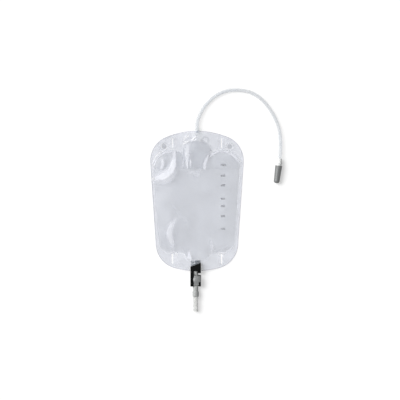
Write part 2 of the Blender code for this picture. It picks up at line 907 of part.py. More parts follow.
def pad_line():
    # Crowned and grooved top of the thumb pad, from its free end back to the barrel, about the hinge.
    line = []
    steps = 6 * lever_grooves
    for i in range(steps + 1):
        share = i / steps
        y = lever_length + (crown_start - lever_length) * share
        z = barrel_radius + lever_crown * math.sin(math.pi * share) ** 0.8
        in_groove = i % 6 == 3
        line.append((y, z - (groove_depth if in_groove else 0)))
    return line


def build_lever():
    # Lever of the clamp: barrel, thumb pad and pinching nose. Its origin lies on the hinge axis.
    pad_bottom = barrel_radius - lever_thickness
    chamfer = lever_thickness / 4
    nose_z = pinch_bottom_z + pinch_height + contact_gap + nose_radius - hinge_z
    barrel = arc((0, 0), barrel_radius, math.pi / 2, barrel_wrap, 10)
    nose = arc((nose_reach, nose_z), nose_radius, math.pi, 2 * math.pi, 8)
    under = [(nose_reach + nose_root, pad_bottom), (lever_length - chamfer, pad_bottom)]
    under.append((lever_length, pad_bottom + chamfer))
    arm_right = ear_inner_x - contact_gap
    profile = pad_line() + barrel + nose + under
    arm = plate("lever_arm", profile, column_inner_x + contact_gap, arm_right, across="X")
    wing_start = ear_top_y - hinge_y + contact_gap
    wing_top = [(y, z) for y, z in pad_line() if y > wing_start]
    wing_outline = wing_top + [(wing_start, wing_top[-1][1]), (wing_start, pad_bottom)] + under[1:]
    wing = plate("lever_wing", wing_outline, arm_right - ear_width / 2, clamp_right - clamp_edge, across="X")
    pin_start = (column_inner_x - pin_seat, 0, 0)
    pin = rod("lever_pin", pin_start, (clamp_right - clamp_edge, 0, 0), pin_radius, 16)
    lever = shown(arm, grey_plastic)
    lever.name = "clamp_lever"
    for piece in (lever, wing, pin):
        piece.location = (0, hinge_y, hinge_z)
    join(lever, wing, pin)


clear_scene()
parts = collection("urine_drainage_bag")
cutters = collection("cutters")

clear_film = material("clear_film", (0.80, 0.83, 0.88), 0.15, 0.35)
clear_vinyl = material("clear_vinyl", (0.84, 0.87, 0.88), 0.20, 0.55)
white_plastic = material("white_plastic", (0.88, 0.89, 0.90), 0.30)
grey_plastic = material("grey_plastic", (0.24, 0.25, 0.25), 0.35)
black_plastic = material("black_plastic", (0.015, 0.015, 0.016), 0.35)
grey_rubber = material("grey_rubber", (0.25, 0.25, 0.25), 0.50)
pale_rubber = material("pale_rubber", (0.48, 0.48, 0.48), 0.50)

build_films()
build_inlet_port()
build_tube()
build_connector()
build_cap()
build_outlet_port()
build_pinch_tube()
build_clamp_body()
build_lever()
build_drain_tube()

for piece in parts.objects:
    if piece.type == "MESH":
        smooth(piece)
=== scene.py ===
import math

import bmesh
import bpy
import numpy as np
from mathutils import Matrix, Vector


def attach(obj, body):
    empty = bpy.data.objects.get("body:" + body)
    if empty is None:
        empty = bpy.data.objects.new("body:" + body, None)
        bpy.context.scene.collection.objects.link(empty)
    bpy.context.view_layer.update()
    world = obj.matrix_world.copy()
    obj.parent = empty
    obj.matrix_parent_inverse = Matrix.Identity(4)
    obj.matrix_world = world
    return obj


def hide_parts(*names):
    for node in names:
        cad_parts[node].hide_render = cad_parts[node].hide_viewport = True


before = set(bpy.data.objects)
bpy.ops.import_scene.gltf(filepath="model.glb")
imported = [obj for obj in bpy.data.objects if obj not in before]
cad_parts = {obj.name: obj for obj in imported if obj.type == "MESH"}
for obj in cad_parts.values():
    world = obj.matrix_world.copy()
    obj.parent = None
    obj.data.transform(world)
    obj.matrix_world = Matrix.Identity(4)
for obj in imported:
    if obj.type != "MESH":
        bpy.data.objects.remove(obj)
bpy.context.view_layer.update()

mm = 0.001  # sizes are in metres, written as a number of millimetres times this
rng = np.random.default_rng(7)


def inMillimetres(**sizes):
    # A piece's sizes, written in millimetres, as metres
    return {name: size * mm for name, size in sizes.items()}


def linked(name, data):
    # A new object in the scene, at the origin
    made = bpy.data.objects.new(name, data)
    bpy.context.scene.collection.objects.link(made)
    return made


# Camera: straight above, 800 mm of floor across the picture, as the photograph shows it
camera = {
    "middle": (6.2 * mm, 1.0 * mm),
    "height": 2.4,
    "across": 0.8,
    "sensor": 36.0,
    "clip": (0.01, 20),
}

lens = bpy.data.cameras.new("camera")
lens.sensor_width = camera["sensor"]
lens.lens = camera["sensor"] * camera["height"] / camera["across"]
lens.clip_start, lens.clip_end = camera["clip"]
eye = linked("camera", lens)
eye.location = (*camera["middle"], camera["height"])
bpy.context.scene.camera = eye
print("camera made")


# Tools for meshes

def linear(hexColour):
    # sRGB hex to linear light: c / 12.92 for the darkest, else ((c + 0.055) / 1.055) to the power 2.4
    srgb = np.array([int(hexColour[i:i + 2], 16) for i in (1, 3, 5)]) / 255
    light = np.where(srgb <= 0.04045, srgb / 12.92, ((srgb + 0.055) / 1.055) ** 2.4)
    return (*light.tolist(), 1.0)


def smoothStep(x):
    # 0 below 0, 1 above 1, and 3x^2 - 2x^3 between them
    x = np.clip(x, 0, 1)
    return x * x * (3 - 2 * x)


def unit(vectors):
    # Each vector divided by its length
    return vectors / np.linalg.norm(vectors, axis=-1, keepdims=True)


def circle(count, shift=0.0):
    # Cosines and sines of even steps round a full turn
    turn = (np.arange(count) + shift) / count * 2 * math.pi
    return np.cos(turn), np.sin(turn)


def evenly(points, closed=False, spacing=0.0, count=0):
    # Even steps along an open or a closed line, read off it by the length walked so far
    if closed:
        points = np.vstack([points, points[:1]])
    walked = np.concatenate([[0], np.cumsum(np.linalg.norm(np.diff(points, axis=0), axis=1))])
    count = count or max(2, round(walked[-1] / spacing) + (not closed))
    wanted = np.linspace(0, walked[-1], count, endpoint=not closed)
    return np.stack([np.interp(wanted, walked, column) for column in points.T], 1)


def smoothPath(points, spacing):
    # Catmull-Rom curve in even steps through the points: 0.5 (2b + (c-a)t + (2a-5b+4c-d)t^2 +
    # (3b-a-3c+d)t^3) between b and c, with a before them and d after
    points = np.array(points)
    ends = np.vstack([2 * points[0] - points[1], points, 2 * points[-1] - points[-2]])
    a, b, c, d = (ends[k:len(ends) - 3 + k, None] for k in range(4))
    t = np.linspace(0, 1, 24, endpoint=False)[None, :, None]
    square, cube = 2 * a - 5 * b + 4 * c - d, 3 * b - a - 3 * c + d
    fine = 0.5 * (2 * b + (c - a) * t + square * t ** 2 + cube * t ** 3)
    return evenly(np.vstack([fine.reshape(-1, points.shape[1]), points[-1]]), spacing=spacing)


def newPiece(name, mesh, body, materials, sharpDegrees=40):
    # Links a mesh that is already in place, shades it smooth but for sharp edges, and rides it on its body
    mesh.name = name
    piece = linked(name, mesh)
    for material in materials:
        mesh.materials.append(material)
    mesh.shade_smooth()
    if sharpDegrees:
        mesh.set_sharp_from_angle(angle=math.radians(sharpDegrees))
    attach(piece, body)
    return piece


def finished(piece):
    # Puts the piece's modifiers into its mesh
    graph = bpy.context.evaluated_depsgraph_get()
    mesh = bpy.data.meshes.new_from_object(piece.evaluated_get(graph))
    piece.modifiers.clear()
    piece.data = mesh
    return piece


def walled(piece, thickness, offset=0.0):
    # Gives a sheet its thickness, half to each side of it unless offset says otherwise
    wall = piece.modifiers.new("wall", "SOLIDIFY")
    wall.thickness = thickness
    wall.offset = offset
    return piece


def placesOf(mesh):
    # The mesh's points as rows of x, y, z
    places = np.zeros(len(mesh.vertices) * 3, np.float32)
    mesh.vertices.foreach_get("co", places)
    return places.reshape(-1, 3)


def outward(mesh):
    # Turns the faces of a closed mesh outwards
    shell = bmesh.new()
    shell.from_mesh(mesh)
    bmesh.ops.remove_doubles(shell, verts=shell.verts, dist=1e-7)
    bmesh.ops.recalc_face_normals(shell, faces=shell.faces)
    shell.to_mesh(mesh)
    shell.free()
    return mesh


def joinedMesh(meshes):
    # Several closed meshes as one
    shell = bmesh.new()
    for mesh in meshes:
        shell.from_mesh(mesh)
        bpy.data.meshes.remove(mesh)
    made = bpy.data.meshes.new("joined")
    shell.to_mesh(made)
    shell.free()
    return made


def gridFaces(rows, columns, around=True, along=False):
    # Quads between neighbouring rows and columns of a grid of points, wrapped where around or along says so
    i = np.arange(rows if along else rows - 1)[:, None]
    j = np.arange(columns if around else columns - 1)[None, :]
    here, above = i * columns, (i + 1) % rows * columns
    beside = (j + 1) % columns
    corners = (here + j, here + beside, above + beside, above + j)
    return np.stack(corners, -1).reshape(-1, 4)


def loft(rings, along=False):
    # Skins rings of points, shaped rows x columns x 3. The ends get a face each unless the rows wrap
    rows, columns = rings.shape[:2]
    faces = gridFaces(rows, columns, True, along).tolist()
    if not along:
        faces.append(np.arange(columns)[::-1].tolist())
        faces.append(np.arange((rows - 1) * columns, rows * columns).tolist())
    mesh = bpy.data.meshes.new("loft")
    mesh.from_pydata(rings.reshape(-1, 3).tolist(), [], faces)
    return outward(mesh)


def turned(profile, place, way, steps=72, along=True):
    # Each (radius, distance) of the profile becomes a circle of that radius, that far along the axis
    profile = np.array(profile)
    way = unit(np.array(way, float))
    side = unit(np.cross(way, (0, 0, 1.0)) if abs(way[2]) < 0.9 else np.array((1.0, 0, 0)))
    up = np.cross(side, way)
    cosine, sine = circle(steps)
    ring = cosine[:, None] * side + sine[:, None] * up
    rings = np.array(place) + profile[:, 1, None, None] * way + profile[:, 0, None, None] * ring
    return loft(rings, along)


def filleted(points, radius, steps=5):
    # Rounds each corner of a closed profile by a quadratic curve from radius before it to radius after
    points = np.array(points, float)
    before = np.roll(points, 1, 0) - points
    after = np.roll(points, -1, 0) - points
    shorter = np.minimum(np.linalg.norm(before, axis=1), np.linalg.norm(after, axis=1))
    reach = np.minimum(radius, 0.45 * shorter)[:, None]
    start = points + unit(before) * reach
    end = points + unit(after) * reach
    t = np.linspace(0, 1, steps)[None, :, None]
    curve = (1 - t) ** 2 * start[:, None] + 2 * t * (1 - t) * points[:, None] + t ** 2 * end[:, None]
    return curve.reshape(-1, 2)


# Materials

def addNode(tree, kind, inputs=None, **settings):
    # Adds a node. Each input is a value for its socket, or another node's output to link to it
    node = tree.nodes.new(kind)
    for name, value in settings.items():
        setattr(node, name, value)
    for name, value in (inputs or {}).items():
        if isinstance(value, bpy.types.NodeSocket):
            tree.links.new(value, node.inputs[name])
        else:
            node.inputs[name].default_value = value
    return node


def clearTree(owner):
    # The owner's own nodes, emptied
    owner.use_nodes = True
    owner.node_tree.nodes.clear()
    return owner.node_tree


# How much of the whitened attribute, which carries crease whitening and painted highlights, brings the full
# pale colour, and how even its shading turns
creasedAndHighlit = {"fullColour": 0.33, "evened": 4.0}
relief = {"patchDetail": 3.0, "grainDetail": 2.0, "strength": 0.6}


def moulded(
    name, tones, sizes, alpha=1.0, roughness=0.3, ior=1.53, gloss=0.5, coat=(), whitenedAndHighlit=None, evened=0.0,
):
    # A polymer surface: two close tones, light and dark, in soft patches, and a fine relief. sizes are
    # the patches', the grain's and the relief's depth in mm. coat is its weight, roughness and IOR.
    # whitened is the colour and alpha where the piece's attribute of that name is 1: crease whitening, and
    # painted highlights where light catches creases. Light that comes through a clear piece from behind
    # evens its shading: evened turns the normal that much towards straight up or down
    material = bpy.data.materials.new(name)
    tree = clearTree(material)
    mottle, grain, depth = (size * mm for size in sizes)
    shader = {"Alpha": alpha, "Roughness": roughness, "IOR": ior, "Specular IOR Level": gloss}
    shader.update(zip(("Coat Weight", "Coat Roughness", "Coat IOR"), coat))
    place = addNode(tree, "ShaderNodeTexCoord").outputs["Object"]
    patches = addNode(
        tree, "ShaderNodeTexNoise", {"Vector": place, "Scale": 1 / mottle, "Detail": relief["patchDetail"]}
    )
    tone = addNode(
        tree, "ShaderNodeMix",
        {"Factor": patches.outputs["Fac"], "A": linear(tones[1]), "B": linear(tones[0])}, data_type="RGBA",
    )
    # The attribute paints crease whitening and painted highlights: a paler colour and a denser alpha
    if whitenedAndHighlit:
        whiteAndHighlight = addNode(tree, "ShaderNodeAttribute", attribute_name="whitenedAndHighlit").outputs["Fac"]
        paleAndHighlit = addNode(tree, "ShaderNodeMapRange", {"Value": whiteAndHighlight, "From Max": creasedAndHighlit["fullColour"]})
        tone = addNode(
            tree, "ShaderNodeMix",
            {"Factor": paleAndHighlit.outputs["Result"], "A": tone.outputs["Result"], "B": linear(whitenedAndHighlit[0])},
            data_type="RGBA",
        )
        denser = addNode(tree, "ShaderNodeMix", {"Factor": whiteAndHighlight, "A": alpha, "B": whitenedAndHighlit[1]})
        # A whitened place is matt, since it is torn into tiny voids. The painted highlights share the
        # attribute, and so lose their coat too
        duller = addNode(tree, "ShaderNodeMapRange", {"Value": whiteAndHighlight, "To Min": coat[0], "To Max": 0.0})
        shader |= {"Alpha": denser.outputs["Result"], "Coat Weight": duller.outputs["Result"]}
        more = {"Value": whiteAndHighlight, "To Min": evened, "To Max": creasedAndHighlit["evened"]}
        evened = addNode(tree, "ShaderNodeMapRange", more).outputs["Result"]
    facing = {}
    if evened:
        normal = addNode(tree, "ShaderNodeNewGeometry").outputs["Normal"]
        upright = addNode(tree, "ShaderNodeSeparateXYZ", {"Vector": normal}).outputs["Z"]
        side = addNode(tree, "ShaderNodeMath", {0: upright}, operation="SIGN").outputs[0]
        push = addNode(tree, "ShaderNodeMath", {0: side, 1: evened}, operation="MULTIPLY").outputs[0]
        level = addNode(tree, "ShaderNodeCombineXYZ", {"Z": push}).outputs["Vector"]
        added = addNode(tree, "ShaderNodeVectorMath", {0: normal, 1: level}, operation="ADD").outputs[0]
        turnedUp = addNode(tree, "ShaderNodeVectorMath", {0: added}, operation="NORMALIZE").outputs[0]
        facing = {"Normal": turnedUp}
    fine = addNode(
        tree, "ShaderNodeTexNoise", {"Vector": place, "Scale": 1 / grain, "Detail": relief["grainDetail"]}
    )
    bump = addNode(
        tree, "ShaderNodeBump",
        {"Height": fine.outputs["Fac"], "Distance": depth, "Strength": relief["strength"], **facing},
    )
    surface = addNode(
        tree, "ShaderNodeBsdfPrincipled",
        {"Base Color": tone.outputs["Result"], "Normal": bump.outputs["Normal"], **shader},
    )
    addNode(tree, "ShaderNodeOutputMaterial", {"Surface": surface.outputs["BSDF"]})
    return material


# Calendered soft vinyl film, clear, a little hazy from its embossed face. The coat stands for the full
# gloss of both its faces, which the alpha would thin. Where it was creased or stretched it has gone white,
# and painted highlights whiten it where light catches its creases
embossedFilm = moulded(
    "embossed_vinyl_film", ("#cfd6e6", "#6f7890"), (32, 1.6, 0.12), alpha=0.15, gloss=0.8,
    coat=(0.5, 0.26, 1.8), whitenedAndHighlit=("#f3f5fd", 0.8), evened=2.4,
)
# The same film fused by the welding die: flatter, since the heat melts the emboss. Its whitened colour also
# carries painted highlights on the flange
weldedFilm = moulded(
    "welded_vinyl_film", ("#e4eafb", "#76819c"), (13, 2.5, 0.08), alpha=0.115, roughness=0.24,
    gloss=0.9, coat=(0.6, 0.24, 1.6), whitenedAndHighlit=("#f8f9fd", 0.8), evened=1.3,
)
# Trimmed rim of the film, which gathers light as a cut edge does
rimFilm = moulded("cut_vinyl_edge", ("#b4b3c6", "#a3a4b8"), (8, 1, 0.01), alpha=0.24, roughness=0.25)
# Weld seam: film squeezed to a thin, glossy, whitened bead
weldSeam = moulded(
    "weld_seam_vinyl", ("#f4f6fc", "#e6eaf3"), (6, 0.8, 0.02), alpha=0.22, roughness=0.24,
    gloss=0.9, coat=(1.0, 0.2, 1.6),
)
# The ring die's mark: film pressed twice, and so denser and greyer
pressedFilm = moulded(
    "pressed_vinyl_film", ("#9aa1b4", "#6f778c"), (5, 1, 0.05), alpha=0.07, coat=(0.5, 0.24),
)
# Punched discs of both films together, darker and greyer than the film round them
punchedFilm = moulded(
    "punched_vinyl_film", ("#8d95a9", "#687086"), (3, 1, 0.05), alpha=0.27, roughness=0.35,
)
# The inner film, thin and clear, and between the valve's two seams, where a second layer makes it denser
flapFilm = moulded("inner_vinyl_film", ("#c9d0de", "#b5bdcd"), (20, 1.5, 0.04), alpha=0.016)
valveFilm = moulded("doubled_valve_film", ("#aeb6c6", "#8f98ab"), (12, 1.5, 0.05), alpha=0.06)
# Injection-moulded soft vinyl port, cloudy with a green-grey cast
portVinyl = moulded(
    "moulded_port_vinyl", ("#dcece6", "#b8ccc6"), (4, 0.7, 0.02), alpha=0.03, roughness=0.25,
    coat=(0.8, 0.2),
)
# The same vinyl round the outlet, darker: the spigot inside it makes part of that, and the rest is painted
# shade from the black clamp
outletVinylPaintedShade = moulded(
    "moulded_outlet_vinyl_painted_shade", ("#626b6d", "#4c5557"), (4, 0.7, 0.02), alpha=0.55, roughness=0.25,
    coat=(0.8, 0.2),
)
# Extruded clear vinyl tube, with a faint blue toner that shows here and there
tubeVinyl = moulded(
    "extruded_tube_vinyl", ("#d8d8d8", "#c0ccdc"), (45, 3, 0.02), alpha=0.18, roughness=0.35,
    coat=(0.25, 0.3), evened=1.0,
)
# Injection-moulded polypropylene, natural white, a little waxy
whitePolypropylene = moulded(
    "moulded_white_polypropylene", ("#f1f2f1", "#e6e8e8"), (5, 0.4, 0.01), roughness=0.32, ior=1.49,
)
# Grey moulded polypropylene with a satin tool finish, and the lever's, which is paler
greyPolypropylene = moulded(
    "moulded_grey_polypropylene", ("#6f7171", "#636565"), (4, 0.35, 0.02), roughness=0.42,
    ior=1.49, gloss=0.9,
)
leverPolypropylene = moulded(
    "moulded_lever_polypropylene", ("#848686", "#747676"), (4, 0.35, 0.02), roughness=0.38,
    ior=1.49, gloss=0.8,
)
# Black moulded ABS with a fine spark-eroded grain
blackAbs = moulded("moulded_black_abs", ("#070808", "#030404"), (5, 0.3, 0.03), roughness=0.5, gloss=0.07)
# Extruded grey silicone tube, soft satin
greySilicone = moulded(
    "extruded_grey_silicone", ("#aeb0af", "#a2a4a3"), (6, 0.5, 0.015), roughness=0.42, ior=1.41, gloss=0.35,
)
# Extruded pale silicone tube, milky: light goes through its wall and evens out round it
paleSilicone = moulded(
    "extruded_pale_silicone", ("#ebecea", "#e1e2e0"), (6, 0.5, 0.015), alpha=0.38, roughness=0.5,
    ior=1.41, gloss=0.35, evened=1.2,
)
# Screen-printed ink, thin enough for the film's haze to show through
printInk = moulded(
    "screen_print_ink", ("#484b53", "#3c3f46"), (3, 0.3, 0.005), alpha=0.46, roughness=0.5, ior=1.5,
)
print("materials made")


# Inlet tube: it leaves the port, arches over and comes down to the connector
tube = {
    **inMillimetres(radius=3.8, lumen=2.5, inserted=9),
    "exit": (0.0008, 0.1440, 0.0062),
    "sides": 40,
    "route": (
        (0.0008, 0.1540, 0.0058), (0.0030, 0.1635, 0.0052), (0.0084, 0.1760, 0.0045),
        (0.0164, 0.1886, 0.0040), (0.0280, 0.2012, 0.0038), (0.0396, 0.2100, 0.0038),
        (0.0526, 0.2164, 0.0038), (0.0656, 0.2196, 0.0038), (0.0788, 0.2204, 0.0038),
        (0.0918, 0.2196, 0.0038), (0.1048, 0.2166, 0.0038), (0.1178, 0.2106, 0.0038),
        (0.1296, 0.2016, 0.0038), (0.1398, 0.1902, 0.0038), (0.1488, 0.1774, 0.0039),
        (0.1560, 0.1640, 0.0042), (0.1614, 0.1506, 0.0047), (0.1646, 0.1370, 0.0054),
        (0.1664, 0.1230, 0.0062), (0.1666, 0.1090, 0.0069),
    ),
}
# Connector and cap, placed by the middle of the cap's mouth
connector = {
    **inMillimetres(
        tailStart=-13.6, tailRadius=5.1, bore=4.1, gripStart=-5.4, gripEnd=-3.6, gripRadius=6.8,
        coneBase=5.6, coneTip=3.6, coneLength=30, stepHeight=0.4, lumen=2,
    ),
    "seat": (0.1632, 0.0696, 0.0075),
    "tilt": math.radians(7.5),
    "coneSteps": 3,
}
connectorWay = np.array((-math.sin(connector["tilt"]), -math.cos(connector["tilt"]), 0))


def connectorPoint(along):
    # seat + way * along
    return np.array(connector["seat"]) + connectorWay * along


def hose(path, radius, sides):
    # A ring at each point of the path, square to it: centre + cos(a) * side * r + sin(a) * up * r
    tangent = unit(np.gradient(path, axis=0))
    side = unit(np.cross(tangent, (0, 0, 1.0)))
    up = np.cross(side, tangent)
    cosine, sine = circle(sides)
    ring = cosine[None, :, None] * side[:, None] + sine[None, :, None] * up[:, None]
    return path[:, None] + ring * radius


exitPoint = np.array(tube["exit"])
tubeEnd = connector["tailStart"] + tube["inserted"]
tubePath = smoothPath(
    [exitPoint - (0, tube["inserted"], 0), exitPoint, *tube["route"],
     *[connectorPoint(a) for a in (connector["tailStart"] - 10 * mm, connector["tailStart"], tubeEnd)]],
    2 * mm,
)
outside, inside = (hose(tubePath, tube[wall], tube["sides"]) for wall in ("radius", "lumen"))
inletTube = newPiece(
    "inletTube", loft(np.concatenate([outside, inside[::-1]]), True), "bag", [tubeVinyl], 60
)
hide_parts("inlet_tube")


def coneRadius(along):
    # Straight taper from the cone's base to its tip
    base, tip = connector["coneBase"], connector["coneTip"]
    return base + (tip - base) * along / connector["coneLength"]


# Connector: sleeve, grip disc, neck and stepped cone as one turned shape
stepLength = connector["coneLength"] / connector["coneSteps"]
coneProfile = [
    point for k in range(connector["coneSteps"])
    for point in (
        (coneRadius((k + 1) * stepLength), (k + 1) * stepLength - connector["stepHeight"]),
        (coneRadius((k + 1) * stepLength) - connector["stepHeight"], (k + 1) * stepLength),
    )
]
connectorProfile = filleted(
    [
        (connector["bore"], connector["tailStart"]),
        (connector["tailRadius"], connector["tailStart"]),
        (connector["tailRadius"] + 0.1 * mm, connector["tailStart"] + 2 * mm),
        (connector["tailRadius"] - 0.1 * mm, connector["tailStart"] + 2.3 * mm),
        (connector["tailRadius"] + 0.5 * mm, connector["gripStart"] - 0.5 * mm),
        (connector["gripRadius"], connector["gripStart"]),
        (connector["gripRadius"], connector["gripEnd"]),
        (connector["coneBase"], connector["gripEnd"]),
        *coneProfile,
        (connector["lumen"], connector["coneLength"]),
        (connector["lumen"], tubeEnd + 0.3 * mm),
        (connector["bore"], tubeEnd + 0.3 * mm),
    ],
    0.35 * mm,
)
tubeConnector = newPiece(
    "tubeConnector", turned(connectorProfile, connectorPoint(0), connectorWay),
    "bag", [whitePolypropylene], 50,
)
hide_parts("tube_connector")

# Cap: a tapered cup with a rim at its mouth and a round end with the sunken mark of its gate
cap = inMillimetres(
    start=0.3, length=35, mouth=7.2, end=5.8, rounding=4.3, rim=2.2, rimHeight=0.3, gate=0.9, clear=0.3,
    eased=0.2,
)
capEnd = cap["start"] + cap["length"]
rimEnd = cap["start"] + cap["rim"]
insideEnd = connector["coneLength"] + cap["clear"]
bend = np.linspace(0, math.pi / 2, 12)
endCorner = np.stack([
    cap["end"] - cap["rounding"] * (1 - np.cos(bend)),
    capEnd - cap["rounding"] * (1 - np.sin(bend)),
], 1)
capProfile = np.vstack([
    [(0.2 * mm, insideEnd), (connector["coneTip"] + cap["clear"], insideEnd),
     (coneRadius(cap["start"]) + cap["clear"], cap["start"] + 0.6 * mm)],
    filleted([
        (coneRadius(cap["start"]) + 0.9 * mm, cap["start"] + 0.6 * mm),
        (coneRadius(cap["start"]) + 0.9 * mm, cap["start"]),
        (cap["mouth"], cap["start"]),
        (cap["mouth"], rimEnd),
        (cap["mouth"] - cap["rimHeight"], rimEnd + 0.2 * mm),
        (cap["mouth"] - cap["rimHeight"] - 0.02 * mm, rimEnd + 1 * mm),
    ], cap["eased"])[5:-5],
    endCorner,
    [(cap["gate"], capEnd), (cap["gate"] - 0.1 * mm, capEnd - 0.25 * mm), (0.2 * mm, capEnd - 0.3 * mm)],
])
connectorCap = newPiece(
    "connectorCap", turned(capProfile, connectorPoint(0), connectorWay, along=False),
    "cap", [greyPolypropylene], 35,
)
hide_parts("connector_cap")
print("connector and cap made")


# Bag: the same loft as the frame's films, closer meshed, with its creases
bag = {
    **inMillimetres(
        wall=0.3, gap=0.3, topY=139, bottomY=-140.5, halfWidth=88.05, topCrown=161, topCorner=51,
        bottomCrown=165, bottomCorner=50, sideFlange=7, lobeTopY=99, chamberBottomY=-104, bulge=14,
        portReach=40,
    ),
    "sideLean": 0.0677,
    "topSlope": math.radians(21),
    "bottomSlope": math.radians(12),
    "core": (30 * mm, 55 * mm),
    "columns": 520,
    "power": 0.8,  # of the rise from the weld
    "topPower": 1.2,
    "powerY": (66 * mm, 92 * mm),  # the one gives way to the other between these
    "chamberRings": 62,
    "ringsCloser": 1.12,
    "innermost": 0.985,
}
inletPort = {
    **inMillimetres(
        x=0.8, halfWidth=10.5, halfDepth=5.6, z=6.2, topY=144, innerY=120, mouth=4.4, mouthDepth=0.4,
        socket=4.1, socketDepth=12.3, bore=2,
    ),
    "ribs": 6,
    "rings": 49,
}
outletPort = {
    **inMillimetres(
        x=-2.4, halfWidth=10, halfDepth=5.6, z=7.2, topY=-119.05, clampTopY=-128.05, clampGap=0.3,
        spigot=3.1, spigotStart=1.2, spigotLength=14, bore=2,
    ),
    "slant": math.tan(math.radians(18.5)),
    "ribs": 2,
    "rings": 17,
}


def rounded(corners, steps=20):
    # Closed outline through (x, y, radius) corners, each replaced by the arc that touches both its sides
    points = np.array(corners)[:, :2]
    radii = np.array(corners)[:, 2]
    before = unit(np.roll(points, 1, 0) - points)
    after = unit(np.roll(points, -1, 0) - points)
    half = np.arccos(np.clip((before * after).sum(1), -1, 1)) / 2
    centre = points + unit(before + after) * (radii / np.sin(half))[:, None]
    start = before * (radii / np.tan(half))[:, None] + points - centre
    end = after * (radii / np.tan(half))[:, None] + points - centre
    first = np.arctan2(start[:, 1], start[:, 0])
    sweep = np.arctan2(end[:, 1], end[:, 0]) - first
    sweep = (sweep + math.pi) % (2 * math.pi) - math.pi
    angle = first[:, None] + sweep[:, None] * np.linspace(0, 1, steps)[None]
    arcs = centre[:, None] + radii[:, None, None] * np.stack([np.cos(angle), np.sin(angle)], -1)
    return arcs.reshape(-1, 2)


def mirrored(rightSide):
    # Completes the right side of an outline with its mirror image
    return rightSide + [(-x, y, radius) for x, y, radius in reversed(rightSide) if x > 1e-6]


def chamberSideX(y):
    # The weld down the bag's right side, a straight line that leans with the edge
    return bag["halfWidth"] - bag["sideFlange"] + bag["sideLean"] * y


topPeak = bag["topY"] + bag["topCrown"] * (1 / math.cos(bag["topSlope"]) - 1)
bottomPeak = bag["bottomY"] - bag["bottomCrown"] * (1 / math.cos(bag["bottomSlope"]) - 1)
fall = math.tan(bag["topSlope"])
rise = math.tan(bag["bottomSlope"])
topX = (bag["halfWidth"] + bag["sideLean"] * topPeak) / (1 + bag["sideLean"] * fall)
bottomX = (bag["halfWidth"] + bag["sideLean"] * bottomPeak) / (1 - bag["sideLean"] * rise)
bagOutline = rounded(mirrored([
    (0, topPeak, bag["topCrown"]),
    (topX, topPeak - fall * topX, bag["topCorner"]),
    (bottomX, bottomPeak + rise * bottomX, bag["bottomCorner"]),
    (0, bottomPeak, bag["bottomCrown"]),
]))
lobeSideY = bag["lobeTopY"] - 21.5 * mm
chamberOutline = rounded(mirrored([
    (12 * mm, inletPort["innerY"] - 1.2 * mm, 4 * mm),
    (29 * mm, bag["lobeTopY"] + 8 * mm, 8 * mm),
    (27.5 * mm, bag["lobeTopY"] - 6.5 * mm, 3 * mm),
    (40 * mm, bag["lobeTopY"], 12 * mm),
    (66 * mm, bag["lobeTopY"], 30 * mm),
    (chamberSideX(lobeSideY), lobeSideY, 20 * mm),
    (chamberSideX(bag["chamberBottomY"]), bag["chamberBottomY"], 28 * mm),
    (27 * mm, bag["chamberBottomY"], 8 * mm),
    (18 * mm, outletPort["topY"] + 1.2 * mm, 5 * mm),
]))


def reachOf(outline, angle):
    # Farthest crossing of each ray (sin a, cos a) with the outline's sides, by the cross products of both
    way = np.stack([np.sin(angle), np.cos(angle)], 1)[:, None]
    start = outline[None]
    side = (np.roll(outline, -1, 0) - outline)[None]
    cross = way[..., 0] * side[..., 1] - way[..., 1] * side[..., 0]
    safe = np.where(np.abs(cross) < 1e-15, 1, cross)
    along = (start[..., 0] * side[..., 1] - start[..., 1] * side[..., 0]) / safe
    share = (start[..., 0] * way[..., 1] - start[..., 1] * way[..., 0]) / safe
    hit = (np.abs(cross) >= 1e-15) & (share >= -1e-9) & (share <= 1 + 1e-9)
    return np.where(hit, along, 0).max(1)


tableAngle = np.linspace(-math.pi, math.pi, 1441)
weldTable = reachOf(chamberOutline, tableAngle)


def shareAt(x, y):
    # By the distance from the origin: 0 on the weld, 1 at the core's edge, and below 0 in the flange
    angle = np.arctan2(x, y)
    weld = np.interp(angle, tableAngle, weldTable)
    core = 1 / np.hypot(np.sin(angle) / bag["core"][0], np.cos(angle) / bag["core"][1])
    return (weld - np.hypot(x, y)) / (weld - core)


def portLens(x, port):
    # Half the depth of a canoe-shaped port: depth (1 - (x / half width)^2)
    return port["halfDepth"] * np.maximum(0, 1 - ((x - port["x"]) / port["halfWidth"]) ** 2)


def flangeShape(x, y):
    # Height of the weld's middle and half the space there. Both rise smoothly towards a port
    low = bag["wall"] + bag["gap"] / 2
    middle = np.full(np.shape(x), low)
    space = np.full(np.shape(x), bag["gap"] / 2)
    for port, side, nearness in (
        (inletPort, y > 0, smoothStep((y - inletPort["innerY"]) / bag["portReach"] + 1)),
        (outletPort, y <= 0, smoothStep((outletPort["topY"] - y) / bag["portReach"] + 1)),
    ):
        beside = 1 - smoothStep((np.abs(x - port["x"]) - port["halfWidth"]) / bag["portReach"])
        lensHere = portLens(x, port)
        middle = np.where(side, low + (port["z"] - low) * nearness * beside, middle)
        half = bag["gap"] / 2 + nearness * (lensHere + np.where(lensHere > 0, bag["gap"] / 2, 0))
        space = np.where(side, half, space)
    return middle, space


# The photograph's pixel at the origin, and millimetres to a pixel, to the right and down
picture = {"origin": (196.9, 200.5), "scale": (2, -2)}


def fromPixels(*points):
    # Places in the picture to metres
    return (np.array(points, float) - picture["origin"]) * picture["scale"] * mm


